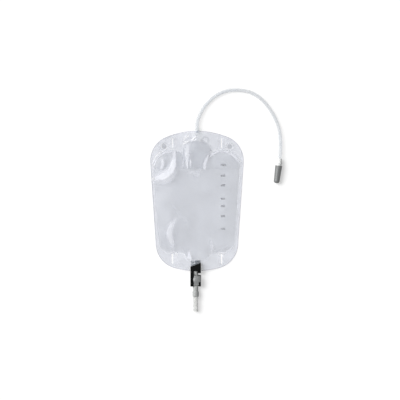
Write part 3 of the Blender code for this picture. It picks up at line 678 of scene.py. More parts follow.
def distanceTo(x, y, line):
    # Least distance to a line of points, which side it is on, and its nearest place's share of the line
    start = line[:-1]
    side = np.diff(line, axis=0)
    length = np.linalg.norm(side, axis=1)
    best = np.full(np.shape(x), 1e9)
    sign = np.zeros(np.shape(x))
    where = np.zeros(np.shape(x))
    done = 0.0
    for k in range(len(side)):
        offX, offY = x - start[k, 0], y - start[k, 1]
        t = np.clip((offX * side[k, 0] + offY * side[k, 1]) / length[k] ** 2, 0, 1)
        gap = np.hypot(offX - t * side[k, 0], offY - t * side[k, 1])
        nearer = gap < best
        best = np.where(nearer, gap, best)
        sign = np.where(nearer, np.sign(side[k, 0] * offY - side[k, 1] * offX), sign)
        where = np.where(nearer, (done + t * length[k]) / length.sum(), where)
        done += length[k]
    return best, sign, where


# Creases of the front film, in places of the picture and mm. Left of a shelf's line the film sags to the
# shelf's height, which it reaches shelfShare of the way from the weld to the core. A ridge stands on its
# line
creases = {
    "shelves": (
        # places, width of the slope at the ends and in the middle, height of the shelf and how far it
        # reaches
        (((177, 136), (175.3, 147), (174.7, 153), (173.4, 160), (170.6, 166.5), (166.3, 172), (160, 176.4),
          (150.5, 179), (138, 180)), 6, 16, 4.6, 90),
        (((182, 208), (177.6, 216), (174, 222), (171.6, 228), (170.6, 234), (171.6, 241), (174, 250)),
         6, 15, 11.4, 14),
    ),
    "ridges": (
        # places, height, width
        (((188.6, 143), (188.2, 152), (188.0, 160), (187.4, 168)), 0.5, 8),
        (((184.2, 158), (183.4, 163), (183.2, 168)), 0.6, 3),
        (((191.0, 158), (191.2, 163), (190.8, 168)), 0.6, 3),
        (((172, 203), (180, 212), (189, 224)), 0.5, 7),
        (((166, 180), (172, 188), (178, 200)), 0.5, 9),
        (((205, 170), (201, 174), (197.5, 180)), 0.5, 6),
        (((211, 240), (212.6, 246), (211.6, 252)), 0.9, 5),
        (((214, 252), (221, 250), (228, 246)), 0.25, 6),
        (((184, 252), (189, 245), (196, 240)), 0.4, 7),
        (((160, 186), (159, 196), (160, 207)), 0.5, 8),
        (((198, 182), (199, 195), (202, 208)), 0.4, 12),
        (((163, 160), (166, 164), (163, 168)), 0.6, 4),
        (((226, 168), (229, 180), (229, 192)), 0.3, 9),
    ),
    "flangeRidges": (
        (((183.6, 143.4), (187, 142.6), (190.6, 140.8)), 0.9, 2.6),
        (((183.4, 140.2), (185.4, 137.6), (188.6, 135.8)), 0.8, 2.4),
        (((192.8, 140.6), (194.2, 138.6), (196, 136.6)), 0.8, 2.4),
        (((172.5, 250), (171.2, 256), (172.6, 264)), 0.5, 3.4),
        (((176, 253), (179, 259), (184, 264)), 0.4, 3.4),
        (((228, 250), (233, 253), (236, 250)), 0.4, 4),
        (((158, 150), (160, 146), (164, 143)), 0.5, 3.4),
    ),
    "puckers": 0.3 * mm,
    "puckerReach": 0.16,
    "waves": 0.3 * mm,
    "fadeIn": 0.12,
    "shelfShare": 0.34,
    "shelfEnds": 0.3,
}
# The flange's waves: two counts round the bag, what turns each, and how they fade towards ports and weld
flangeWaves = {
    "lift": 1.3 * mm,
    "counts": (9, 4),
    "turned": (0.7, 2.1),
    "besidePorts": 18 * mm,
    "portFade": 20 * mm,
    "fromWeld": 0.02,
    "weldFade": 0.35,
}
# Whitened strokes in the film, partly crease whitening and partly painted highlights where light catches
# its creases and welds: places in the picture, and half widths in mm and strengths spread along it
whiteAndHighlightStrokes = (
    # painted highlights along the fold across the left lobe, and along that lobe's weld
    (((174.7, 150.5), (174.5, 156), (173.7, 163), (171.8, 169), (167.8, 174), (161.5, 177.4),
      (151.5, 179.2)),
     (2.0, 3.4, 4.8, 6.2, 6.4, 4.8, 3.2), (0.66, 0.72, 0.74, 0.72, 0.68, 0.64, 0.6)),
    (((176.5, 166), (175.6, 172), (171.5, 177.6), (164.5, 181.6), (154, 183.4)),
     (3, 4.5, 5.5, 4.5, 3), (0.1, 0.3, 0.36, 0.28, 0.1)),
    (((153.3, 167), (154.6, 161), (157.5, 156), (162.5, 152.8), (168, 151.4), (174.5, 150.8)),
     (2.4, 3.2, 3.4, 3.2, 2.8, 2.4), (0.85, 1, 1, 1, 0.9, 0.8)),
    (((162.4, 161), (162.8, 164), (161.5, 168)), (2.8,), (0.5,)),
    # painted highlights along the valve's left seam and its two fingers
    (((188.2, 142.5), (187.6, 148), (187.6, 154), (188, 161)), (4, 5.4, 5.2, 3.4), (0.2, 0.3, 0.32, 0.26)),
    (((183.4, 159), (183.6, 166)), (1.6,), (0.32,)),
    (((187.0, 160), (187.3, 168)), (1.8, 1.4), (0.4,)),
    (((190.5, 160), (190.9, 166.5)), (1.6,), (0.36,)),
    # painted highlights along the right lobe's weld
    (((204.4, 168.5), (204.9, 163.5), (207.6, 158.3), (211.6, 154), (216.5, 151.6)),
     (2.2, 2.6, 3, 3.2, 3), (0.8, 0.85, 0.9, 1, 0.85)),
    (((217, 151.4), (223, 151), (228, 152.2), (233.5, 155.4), (240, 161.5)),
     (2.2, 2, 2.5, 2.8, 2.6), (0.7, 0.6, 0.85, 0.85, 0.75)),
    # faint creases under the flap
    (((189, 172.6), (196, 172.2)), (1.4,), (0.36,)),
    (((194, 175.4), (199, 174.2)), (1.2,), (0.36,)),
    (((200.5, 168.5), (196.6, 177)), (1.7,), (0.24,)),
    # painted highlights along the fold low on the left, and along the long crease to its right
    (((176.2, 217.8), (172.8, 223), (170.3, 228.5), (169.5, 234), (171.2, 240), (173.4, 247)),
     (1.8, 4.6, 6.2, 7, 5.4, 3.6), (0.2, 0.34, 0.4, 0.44, 0.42, 0.28)),
    (((171, 204.5), (178, 211.5), (187.5, 222.5)), (3.2,), (0.13,)),
    # round the funnel
    (((211, 241.5), (212.6, 246.5), (211.6, 252)), (2.6,), (0.2, 0.36, 0.3)),
    (((213, 252), (220, 250.6), (227, 247)), (1.8,), (0.2,)),
    (((181, 245), (184.4, 252), (187, 258)), (1.4,), (0.12, 0.2, 0.3)),
    # the flange beside the ports and the slots, with painted highlights beside the inlet port
    (((183.6, 143.6), (187, 142.4), (190.8, 140.8)), (1.7,), (0.85,)),
    (((183.6, 140), (185.6, 137.6), (188.6, 136)), (1.5,), (0.6,)),
    (((192, 140.2), (194.2, 138.4), (196.2, 136.8)), (1.6,), (0.45,)),
    (((170.6, 138), (170.2, 143), (171, 148.5)), (2.4,), (0.3,)),
    (((175, 139), (176.5, 143), (174.5, 147)), (3,), (0.22,)),
    (((218.6, 139), (218.4, 148)), (2,), (0.2,)),
    (((223.4, 139), (223.2, 149)), (1.8,), (0.2,)),
    (((225.8, 149.6), (229.6, 151.4), (233.4, 149.2)), (1.2,), (0.25,)),
    (((172, 251.8), (175, 252.6), (177.6, 254.6), (176.4, 257)), (2.4, 2.2, 2, 1.4), (0.7, 0.6, 0.45, 0.3)),
    (((218.6, 253), (224.4, 253)), (1.8,), (0.8,)),
    (((219.4, 254), (219.2, 264)), (1.4,), (0.3,)),
    (((178, 262), (182.5, 265.5)), (3,), (0.2,)),
)
# Painted highlight on a fold at the funnel, a white triangle from its tip to its foot, and half its foot's
# width
funnelFoldHighlight = {"tip": fromPixels((189.2, 249.4))[0], "foot": fromPixels((189.2, 258.9))[0], "half": 5.3 * mm}
fullWhiteAndHighlight = 0.72  # what a stroke of strength 1 writes into the attribute
waveWays = rng.uniform(0, 2 * math.pi, 14)
waveLengths = rng.uniform(26, 70, 14) * mm
wavePhases = rng.uniform(0, 2 * math.pi, 14)
puckerCounts = rng.integers(28, 96, 10)
puckerPhases = rng.uniform(0, 2 * math.pi, 10)


def softWaves(x, y):
    # Sum of sine waves of seeded directions, lengths and phases, over the root of their number
    crossed = x[..., None] * np.cos(waveWays) + y[..., None] * np.sin(waveWays)
    return np.sin(2 * math.pi * crossed / waveLengths + wavePhases).sum(-1) / math.sqrt(len(waveWays))


def shelfShare(x, y, places, narrow, wide, reach):
    # 1 left of the line as far as its reach and 0 right of it, the slope widest at the line's middle, all
    # fading to 0 at the line's ends
    gap, side, along = distanceTo(x, y, smoothPath(fromPixels(*places), 4 * mm))
    ramp = np.clip(0.5 - gap * side / (narrow + (wide - narrow) * np.sin(math.pi * along)), 0, 1)
    ends = smoothStep(along / creases["shelfEnds"]) * smoothStep((1 - along) / creases["shelfEnds"])
    return (ramp + smoothStep(ramp)) / 2 * ends * (1 - smoothStep(gap / reach - 0.6))


def ridges(x, y, rows):
    # Sum over the lines of height exp(-(distance / half width)^2), which swells and dies along each as a
    # half sine to the power 0.6
    height = 0
    for places, tall, wide in rows:
        gap, side, along = distanceTo(x, y, smoothPath(fromPixels(*places), 3 * mm))
        swell = np.sin(math.pi * np.clip(along, 0.001, 0.999)) ** 0.6
        height = height + tall * mm * (np.exp(-(gap / (wide * mm / 2)) ** 2) * swell)
    return height


def creaseHeight(x, y):
    # Sum of the ridges, puckers by the weld and soft waves, fading to nothing on the weld
    share = shareAt(x, y)
    angle = np.arctan2(x, y)[..., None]
    pucker = np.sin(puckerCounts * angle + puckerPhases).sum(-1) / math.sqrt(len(puckerCounts))
    height = ridges(x, y, creases["ridges"])
    height += creases["puckers"] * pucker * np.exp(-np.abs(share) / creases["puckerReach"])
    height += creases["waves"] * softWaves(x, y)
    return height * smoothStep(share / creases["fadeIn"])


def whiteningAndHighlights(x, y):
    # How white the film is painted, by crease whitening and by painted highlights: each stroke's strength,
    # falling to 0 from half to one and a half half-widths off its line, and 1 inside the triangle of the
    # funnel's fold, a painted highlight
    whiteAndHighlight = np.zeros(np.shape(x))
    for places, widths, strengths in whiteAndHighlightStrokes:
        gap, side, along = distanceTo(x, y, smoothPath(fromPixels(*places), 3 * mm))
        width = np.interp(along, np.linspace(0, 1, len(widths)), widths) * mm
        strength = np.interp(along, np.linspace(0, 1, len(strengths)), strengths)
        whiteAndHighlight = np.maximum(whiteAndHighlight, fullWhiteAndHighlight * strength * smoothStep(1.5 - gap / width))
    down = (funnelFoldHighlight["tip"][1] - y) / (funnelFoldHighlight["tip"][1] - funnelFoldHighlight["foot"][1])
    inside = funnelFoldHighlight["half"] * np.clip(down, 0, 1) - np.abs(x - funnelFoldHighlight["tip"][0])
    funnelHighlight = smoothStep(inside / (1.2 * mm) + 0.3) * (down > 0) * smoothStep((1.04 - down) / 0.08)
    return np.maximum(whiteAndHighlight, funnelHighlight)


def flangeLift(x, y):
    # The flange waves a little off the floor, as a product of two sines of the angle round the bag
    angle = np.arctan2(x, y)
    rows = zip(flangeWaves["counts"], flangeWaves["turned"])
    first, second = (np.sin(count * angle + turn) for count, turn in rows)
    beside = smoothStep((np.abs(x) - flangeWaves["besidePorts"]) / flangeWaves["portFade"])
    outwards = smoothStep((-shareAt(x, y) - flangeWaves["fromWeld"]) / flangeWaves["weldFade"])
    return flangeWaves["lift"] * (0.5 + 0.5 * first * second) * beside * outwards


def filmHeight(x, y, side="front"):
    # Middle of a film: from the weld up to the core by (1 - (1 - share)^2)^power, plus its creases. The
    # power grows at the top, where the film leaves its weld less steeply
    middle, space = flangeShape(x, y)
    share = np.clip(shareAt(x, y), 0, 1)
    lowerY, upperY = bag["powerY"]
    grown = smoothStep((y - lowerY) / (upperY - lowerY)) * (side == "front")
    risen = (1 - (1 - share) ** 2) ** (bag["power"] + (bag["topPower"] - bag["power"]) * grown)
    if side == "back":
        low = middle - space - bag["wall"] / 2
        return low + (bag["wall"] / 2 - low) * risen + flangeLift(x, y)
    low = middle + space + bag["wall"] / 2
    rise = (2 * bag["wall"] + bag["bulge"] - low) * risen
    shelf = 1 - (1 - np.clip(share / creases["shelfShare"], 0, 1)) ** 2
    for places, narrow, wide, tall, reach in creases["shelves"]:
        left = shelfShare(x, y, places, narrow * mm, wide * mm, reach * mm)
        rise += left * (np.minimum(tall * mm * shelf, rise) - rise)
    rise += ridges(x, y, creases["flangeRidges"])
    return low + rise + creaseHeight(x, y) + flangeLift(x, y)


# Rays from the middle to even steps of the outline, and rings from the edge over the weld to the middle
edgePoints = evenly(bagOutline, True, count=bag["columns"])
rayAngle = np.arctan2(edgePoints[:, 0], edgePoints[:, 1])
edgeReach = np.hypot(edgePoints[:, 0], edgePoints[:, 1])
weldReach = reachOf(chamberOutline, rayAngle)
rimSteps = np.array([0, 0.45, 0.9]) * mm
flangeShares = np.array([0.03, 0.09, 0.18, 0.27, 0.36, 0.45, 0.54, 0.63, 0.72, 0.81, 0.9, 0.96])
chamberShares = np.linspace(0, 1, bag["chamberRings"], endpoint=False) ** bag["ringsCloser"]
rimRings = edgeReach - rimSteps[:, None]
flangeRings = rimRings[-1] + (weldReach - rimRings[-1]) * flangeShares[:, None]
chamberRings = weldReach * (1 - chamberShares[:, None] * bag["innermost"])
ringReach = np.vstack([rimRings, flangeRings, chamberRings])
gridX = ringReach * np.sin(rayAngle)
gridY = ringReach * np.cos(rayAngle)

# Holes by their middles' distance from the middle line and from the top or bottom edge, and the clamp's
# notch. The cutters reach from low to high
holes = inMillimetres(
    slotX=49, slotFromEdge=24, slotHalfLength=8.5, upperHalfWidth=1.1, lowerHalfWidth=1.5, eyeletX=65.5,
    eyeletFromTop=31, eyeletRadius=5.5, notchHalf=11.1, notchAboveClamp=0.6, notchBelowBag=15, low=-10,
    high=40,
)
eyelets = [np.array((side * holes["eyeletX"], bag["topY"] - holes["eyeletFromTop"])) for side in (-1, 1)]


def holeCutter(name):
    # Upright prisms: slots with round ends, round eyelets, and the notch with the clamp's slant
    cosine, sine = circle(48)
    longWay = np.where(sine >= 0, holes["slotHalfLength"], -holes["slotHalfLength"])
    outlines = [place + holes["eyeletRadius"] * np.column_stack([cosine, sine]) for place in eyelets]
    for y, wide in (
        (bag["topY"] - holes["slotFromEdge"], holes["upperHalfWidth"]),
        (bag["bottomY"] + holes["slotFromEdge"], holes["lowerHalfWidth"]),
    ):
        for x in (-holes["slotX"], holes["slotX"]):
            outlines.append(np.column_stack([x + wide * cosine, y + longWay + wide * sine]))
    left, right = outletPort["x"] - holes["notchHalf"], outletPort["x"] + holes["notchHalf"]
    slant = outletPort["slant"] * holes["notchHalf"]
    top = outletPort["clampTopY"] + holes["notchAboveClamp"]
    bottom = bag["bottomY"] - holes["notchBelowBag"]
    outlines.append(np.array([(left, bottom), (right, bottom), (right, top + slant), (left, top - slant)]))
    prisms = []
    for outline in outlines:
        ends = [np.column_stack([outline, np.full(len(outline), z)]) for z in (holes["low"], holes["high"])]
        prisms.append(loft(np.stack(ends)))
    return linked(name, joinedMesh(prisms))


def sheetMesh(x, y, z, zone, around=True, pole=True):
    # A grid of points as a sheet. zone gives each quad's material, and a pole closes the middle
    rows, columns = x.shape
    faces = gridFaces(rows, columns, around)[:, ::-1]
    points = np.stack([x, y, z], -1).reshape(-1, 3)
    fan = []
    if pole:
        points = np.vstack([points, points[-columns:].mean(0)])
        last = (rows - 1) * columns
        j = np.arange(columns)
        fan = np.stack([last + (j + 1) % columns, last + j, np.full(columns, rows * columns)], 1).tolist()
    mesh = bpy.data.meshes.new("sheet")
    mesh.from_pydata(points.tolist(), [], faces.tolist() + fan)
    zones = np.concatenate([zone.ravel(), np.full(len(fan), zone.ravel()[-1])])
    mesh.polygons.foreach_set("material_index", zones.astype(np.int32))
    return mesh


def makeFilm(name, side, node):
    # Lofts one film, cuts its holes and gives it its wall
    ringZone = np.where(np.arange(len(ringReach) - 1) < len(rimSteps) + len(flangeShares), 1, 0)
    ringZone[:len(rimSteps) - 1] = 2
    zone = np.repeat(ringZone[:, None], bag["columns"], 1)
    mesh = sheetMesh(gridX, gridY, filmHeight(gridX, gridY, side), zone)
    film = newPiece(name, mesh, "bag", [embossedFilm, weldedFilm, rimFilm], 0)
    walled(film, bag["wall"])
    cutter = holeCutter(name + "Holes")
    cut = film.modifiers.new("holes", "BOOLEAN")
    cut.operation = "DIFFERENCE"
    cut.solver = "EXACT"
    cut.object = cutter
    finished(film)
    bpy.data.objects.remove(cutter)
    places = placesOf(film.data)
    # Crease whitening and painted highlights go on the front film only
    whiteAndHighlight = whiteningAndHighlights(*places[:, :2].T) if side == "front" else np.zeros(len(places))
    attribute = film.data.attributes.new("whitenedAndHighlit", "FLOAT", "POINT")
    attribute.data.foreach_set("value", whiteAndHighlight.astype(np.float32))
    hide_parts(node)
    print(name, "made,", len(film.data.polygons), "faces")
    return film


frontFilm = makeFilm("frontFilm", "front", "front_film")
backFilm = makeFilm("backFilm", "back", "back_film")

# Valve flap: hangs from the weld to the level line, denser between its two seams, the left one upright
flap = {
    **inMillimetres(lowerY=62.8, wall=0.2, under=0.55, leftSeamX=-42.4, clearOfWeld=3),
    "columns": 260,
    "rows": 36,
    "upTo": 0.985,
    "rightSeam": fromPixels((204.0, 168.2), (205.2, 163), (207.5, 157.5), (210.8, 152.5)),
}
reachToEdge = np.arctan2(chamberSideX(flap["lowerY"]) - flap["clearOfWeld"], flap["lowerY"])
flapAngle = np.linspace(-reachToEdge, reachToEdge, flap["columns"])
flapWeld = np.interp(flapAngle, tableAngle, weldTable)
flapStart = flap["lowerY"] / np.cos(flapAngle)
flapRow = np.linspace(0, flap["upTo"], flap["rows"])[:, None]
flapReach = flapStart + (flapWeld - flapStart) * flapRow
flapX = flapReach * np.sin(flapAngle)
flapY = flapReach * np.cos(flapAngle)
flapZ = filmHeight(flapX, flapY) - flap["under"]
seamX = np.interp(flapY[:-1, :-1], flap["rightSeam"][:, 1], flap["rightSeam"][:, 0])
flapZone = ((flapX[:-1, :-1] > flap["leftSeamX"]) & (flapX[:-1, :-1] < seamX)).astype(int)
flapZone[0] = 1  # its lower hem is doubled too
flapMesh = sheetMesh(flapX, flapY, flapZ, flapZone, around=False, pole=False)
valveFlap = newPiece("valveFlap", flapMesh, "bag", [flapFilm, valveFilm], 0)
finished(walled(valveFlap, flap["wall"]))
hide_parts("anti_reflux_flap")
print("films made")


# Weld beads on the front film: low ribbons along the chamber's edge, over both lobes and round the eyelets,
# and the die's ring. size is half the width and the height, and offset how far off the edge a bead lies
beads = {
    "lift": 0.08 * mm,
    "under": 0.04 * mm,
    "step": 1.2 * mm,
    "edge": {"size": (0.8 * mm, 0.12 * mm), "offset": 1.4 * mm},
    "lobe": {"size": (1.2 * mm, 0.15 * mm), "offset": 1 * mm, "aboveY": 72 * mm, "besideX": 28 * mm},
    "ring": {"size": (0.9 * mm, 0.15 * mm), "radius": 7.6 * mm, "at": ((229.65, 146.5), (164.15, 146.5))},
    "dieMark": {"size": (1.9 * mm, 0.2 * mm), "radius": 6.2 * mm, "at": (205.2, 140.3)},
}


def beadRings(line, size, closedLine=False):
    # At each place of the line a section: height (1 - t^2) over t from -1 to 1, closed by a flat
    # underside. An open line's ends draw in as the root of the distance from them
    halfWidth, height = size
    if closedLine:
        tangent = unit(np.roll(line, -1, 0) - np.roll(line, 1, 0))
    else:
        tangent = unit(np.gradient(line, axis=0))
    across = np.stack([tangent[:, 1], -tangent[:, 0]], 1)
    t = np.array([-1, -0.66, -0.33, 0, 0.33, 0.66, 1, 0.5, -0.5])
    arch = np.where(np.arange(9) < 7, height * (1 - t ** 2), -beads["under"])
    ends = np.ones((len(line), 1))
    if not closedLine:
        steps = np.arange(len(line))
        ends[:, 0] = np.sqrt(np.clip((np.minimum(steps, steps[::-1]) + 0.3) / 4, 0, 1))
    x = line[:, 0, None] + across[:, 0, None] * t * halfWidth * ends
    y = line[:, 1, None] + across[:, 1, None] * t * halfWidth * ends
    z = filmHeight(x, y) + bag["wall"] / 2 + beads["lift"] + arch * ends
    return np.stack([x, y, z], -1)


def ringBead(at, radius, size):
    # A bead along a circle round a place in the picture
    return loft(beadRings(fromPixels(at) + radius * np.stack(circle(64), 1), size, True), True)


perimeter = evenly(chamberOutline, True, beads["step"])
edgeBead, lobeBead, ringMark, dieRing = (beads[key] for key in ("edge", "lobe", "ring", "dieMark"))
outside = perimeter + unit(perimeter) * edgeBead["offset"]
beadMeshes = [loft(beadRings(outside, edgeBead["size"], True), True)]
for mirror in (1, -1):
    x, y = perimeter[:, 0] * mirror, perimeter[:, 1]
    lobe = perimeter[(y > lobeBead["aboveY"]) & (x > lobeBead["besideX"])]
    lobe = lobe[np.argsort(np.arctan2(lobe[:, 0], lobe[:, 1]))]
    lobe += (mirror * lobeBead["offset"], lobeBead["offset"])
    beadMeshes.append(loft(beadRings(smoothPath(lobe[::6], beads["step"]), lobeBead["size"])))
beadMeshes += [ringBead(at, ringMark["radius"], ringMark["size"]) for at in ringMark["at"]]
weldLines = newPiece("weldLines", joinedMesh(beadMeshes), "bag", [weldSeam], 60)

# The ring die's mark beside the port
dieMark = newPiece(
    "dieMark", ringBead(dieRing["at"], dieRing["radius"], dieRing["size"]),
    "bag", [pressedFilm], 60,
)

# Punched discs still sit in the eyelets, dished, with a thin cut round them
disc = {
    **inMillimetres(radius=5.1, hole=0.2, thickness=0.5, edge=0.12, dish=0.25),
    "sides": 48,
}
discMeshes = []
for place in eyelets:
    low = float(filmHeight(place[:1], place[1:], "back")[0])
    discProfile = filleted([
        (disc["hole"], disc["dish"]), (disc["radius"], 0), (disc["radius"], disc["thickness"]),
        (disc["hole"], disc["dish"] + disc["thickness"]),
    ], disc["edge"])
    discMeshes.append(turned(discProfile, (*place, low), (0, 0, 1.0), disc["sides"]))
eyeletDiscs = newPiece("eyeletDiscs", joinedMesh(discMeshes), "bag", [punchedFilm], 50)
print("weld lines made")


# Ports: a canoe-shaped moulding between the films, ribbed for the weld, with a socket or a spigot
ribs = {"valley": 0.9, "height": 0.095, "tip": 0.15 * mm, "eased": 0.04}


def lensRing(port, share, y, slant=0.0, eased=1.0):
    # x = w cos a, z = depth sin a |sin a| with blunt tips, and y slants with x. Both sizes are scaled by
    # the rib's cosine wave of the share along the port
    cosine, sine = circle(72)
    rib = 0.5 - 0.5 * math.cos(share * 2 * math.pi * port["ribs"])
    scale = (ribs["valley"] + ribs["height"] * rib) * eased
    x = port["x"] + port["halfWidth"] * scale * cosine
    z = port["halfDepth"] * scale * sine * np.abs(sine) + ribs["tip"] * sine
    return np.stack([x, y + slant * (x - port["x"]), port["z"] + z], 1)


def roundRings(port, *rings):
    # Circles x = r cos a, z = r sin a round the port's axis, from pairs of y and radius
    cosine, sine = circle(72)
    return [
        np.stack([port["x"] + radius * cosine, np.full(72, y), port["z"] + radius * sine], 1)
        for y, radius in rings
    ]


inletRings = []
for share in np.linspace(0, 1, inletPort["rings"]):
    y = inletPort["innerY"] + (inletPort["topY"] - inletPort["innerY"]) * share
    edge = min(share, 1 - share) * (inletPort["rings"] - 1)
    inletRings.append(lensRing(inletPort, share, y, eased=1 - ribs["eased"] * max(0, 1 - edge)))
socketY = inletPort["topY"] - inletPort["socketDepth"]
inletRings += roundRings(
    inletPort, (inletPort["topY"], inletPort["mouth"]),
    (inletPort["topY"] - inletPort["mouthDepth"], inletPort["socket"]), (socketY, inletPort["socket"]),
    (socketY, inletPort["bore"]), (inletPort["innerY"], inletPort["bore"]),
)
inletFitting = newPiece(
    "inletFitting", loft(np.array(inletRings), True), "bag", [portVinyl], 50
)
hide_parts("inlet_port")

outletRings = []
for share in np.linspace(0, 1, outletPort["rings"]):
    y = outletPort["topY"] + (outletPort["clampTopY"] + outletPort["clampGap"] - outletPort["topY"]) * share
    outletRings.append(lensRing(outletPort, share, y, outletPort["slant"] * share))
spigotEnd = outletPort["clampTopY"] - outletPort["spigotLength"]
outletRings += roundRings(
    outletPort, (outletPort["clampTopY"] - outletPort["spigotStart"], outletPort["spigot"]),
    (spigotEnd, outletPort["spigot"]), (spigotEnd, outletPort["bore"]),
    (outletPort["topY"], outletPort["bore"]),
)
outletFitting = newPiece(
    "outletFitting", loft(np.array(outletRings), True), "bag", [outletVinylPaintedShade], 50
)
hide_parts("outlet_port")
print("ports made")


# Clamp: the frame's own body and lever, with their edges eased. The lever's pad is domed: its top moves
# fully, what lies fallFrom below it stays, and the share between grows over fallOver
clamp = {"eased": 0.2 * mm, "segments": 2, "sharpDegrees": 35}
pad = {
    **inMillimetres(
        halfWidth=7.5, halfLength=8.3, middleY=-158, fallFrom=3.4, fallOver=2.6, crown=1.6, corner=1.2,
    ),
    "cuts": np.linspace(-6.6, 6.6, 11) * mm,
}


def domed(shell):
    # Lowers the pad's top by crown (|u|^2.4 + |v|^2.4) and draws its corners in by corner |u v|^3, where
    # u and v run from -1 to 1 over its width and length
    for x in pad["cuts"]:
        everything = [*shell.verts, *shell.edges, *shell.faces]
        bmesh.ops.bisect_plane(shell, geom=everything, plane_co=(x, 0, 0), plane_no=(1, 0, 0))
    places = np.array([vertex.co for vertex in shell.verts])
    top = places[:, 2].max()
    u = np.clip(places[:, 0] / pad["halfWidth"], -1, 1)
    v = np.clip((places[:, 1] - pad["middleY"]) / pad["halfLength"], -1, 1)
    share = smoothStep((places[:, 2] - top + pad["fallFrom"]) / pad["fallOver"])
    places[:, 2] -= pad["crown"] * (np.abs(u) ** 2.4 + np.abs(v) ** 2.4) * share
    corner = pad["corner"] * np.abs(u * v) ** 3 * share
    places[:, 0] -= np.sign(u) * corner
    places[:, 1] -= np.sign(v) * corner
    for vertex, place in zip(shell.verts, places):
        vertex.co = place


def easedCopy(name, node, body, material, reshape=None):
    # A merged copy of the frame's mesh, its flat faces joined and its edges rounded
    shell = bmesh.new()
    shell.from_mesh(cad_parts[node].data)
    bmesh.ops.remove_doubles(shell, verts=shell.verts, dist=1e-6)
    bmesh.ops.dissolve_limit(
        shell, angle_limit=math.radians(1), use_dissolve_boundaries=False,
        verts=shell.verts, edges=shell.edges,
    )
    if reshape:
        reshape(shell)
    mesh = bpy.data.meshes.new(name)
    shell.to_mesh(mesh)
    shell.free()
    piece = newPiece(name, mesh, body, [material], 30)
    edge = piece.modifiers.new("eased", "BEVEL")
    edge.width = clamp["eased"]
    edge.segments = clamp["segments"]
    edge.limit_method = "ANGLE"
    edge.angle_limit = math.radians(clamp["sharpDegrees"])
    edge.use_clamp_overlap = True
    edge.harden_normals = True
    finished(piece)
    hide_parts(node)
    return piece


clampFrame = easedCopy("clampFrame", "clamp_body", "bag", blackAbs)
clampLever = easedCopy("clampLever", "clamp_lever", "lever", leverPolypropylene, domed)
print("clamp made")

# Soft tube through the clamp, flattened under the lever's nose and stretched over the drain tube
soft = {
    **inMillimetres(
        radius=5, wall=1.6, pinched=3.6, topY=-128.05, collarY=-144.45, noseY=-158.05, clampEndY=-171.05,
        endY=-191.55, noseHalf=0.6, flareRadius=6.3, flareWall=0.9, flareLength=8.5, drainRadius=5.1,
        drainWall=1.2, drainEndY=-221.55, bell=0.4, flareRise=3.4, lip=0.4,
    ),
    "sides": 64,
}
flareY = soft["endY"] + soft["flareLength"]
pinchY, pinchEndY = soft["noseY"] + soft["noseHalf"], soft["noseY"] - soft["noseHalf"]
freeY = soft["clampEndY"] - soft["radius"]
stationY = np.concatenate([
    np.linspace(soft["topY"], soft["collarY"], 6),
    np.linspace(soft["collarY"], pinchY, 22)[1:],
    np.linspace(pinchEndY, freeY, 22),
    [flareY + 3.6 * mm],
    np.linspace(flareY + 3.2 * mm, flareY, 8),
    np.linspace(flareY - 0.6 * mm, soft["endY"] + 0.5 * mm, 6),
    soft["endY"] + np.array([0.3, 0.12, 0.0]) * mm,
])
squeezed = smoothStep((soft["collarY"] - stationY) / (soft["collarY"] - pinchY))
freed = smoothStep((pinchEndY - stationY) / (pinchEndY - freeY))
flared = smoothStep((flareY + soft["flareRise"] - stationY) / soft["flareRise"])
lipShare = np.maximum(0, 1 - (stationY - soft["endY"]) / soft["lip"])
lip = lipShare ** 2 * soft["lip"]
outerRadius = soft["radius"] + (soft["flareRadius"] - soft["radius"]) * flared - lip
height = 2 * outerRadius - (2 * soft["radius"] - soft["pinched"]) * squeezed * (1 - freed)
wallHere = soft["wall"] + (soft["flareWall"] - soft["wall"]) * flared - lip


def softRings(inset):
    # Racetrack section of constant girth: half circles of the height, spread apart by pi (r - h / 2) / 2
    bendHere = (height / 2 - inset)[:, None]
    spread = (math.pi * (outerRadius - height / 2) / 2)[:, None]
    middleZ = (outletPort["z"] - (outerRadius - height / 2))[:, None]
    middleZ = np.where(flared[:, None] > 0, outletPort["z"], middleZ)
    cosine, sine = circle(soft["sides"], 0.5)
    x = outletPort["x"] + cosine * bendHere + np.sign(cosine) * spread
    return np.stack([x, np.repeat(stationY[:, None], soft["sides"], 1), middleZ + sine * bendHere], -1)


softTube = newPiece(
    "softTube", loft(np.concatenate([softRings(0), softRings(wallHere)[::-1]]), True),
    "bag", [greySilicone], 60,
)
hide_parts("pinch_tube")

# Drain tube, its end in the soft tube belled a little
drainStart = flareY - 0.3 * mm
drainLength = drainStart - soft["drainEndY"]
drainInside = soft["drainRadius"] - soft["drainWall"]
drainProfile = filleted([
    (drainInside, drainLength - 4 * mm),
    (drainInside + soft["bell"], drainLength),
    (soft["drainRadius"] + soft["bell"], drainLength),
    (soft["drainRadius"] + 0.15 * mm, drainLength - 1.6 * mm),
    (soft["drainRadius"], drainLength - 4 * mm),
    (soft["drainRadius"], 0),
    (drainInside, 0),
], 0.3 * mm)
drainTube = newPiece(
    "drainTube", turned(drainProfile, (outletPort["x"], drainStart, outletPort["z"]), (0, -1, 0)),
    "bag", [paleSilicone], 60,
)
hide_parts("drain_tube")
print("soft tube and drain tube made")


# Printed volumes, laid on the front film: each number and its y in the picture
printed = {
    "x": 222.8,
    "size": 6.0 * mm,
    "bold": 0.07 * mm,
    "marks": (
        ("1000", 165.1), ("800", 175.9), ("600", 185.5), ("400", 198.9),
        ("300", 206.1), ("200", 216.1), ("100", 228.7),
    ),
    "lift": 0.12 * mm,
    "thickness": 0.05 * mm,
}


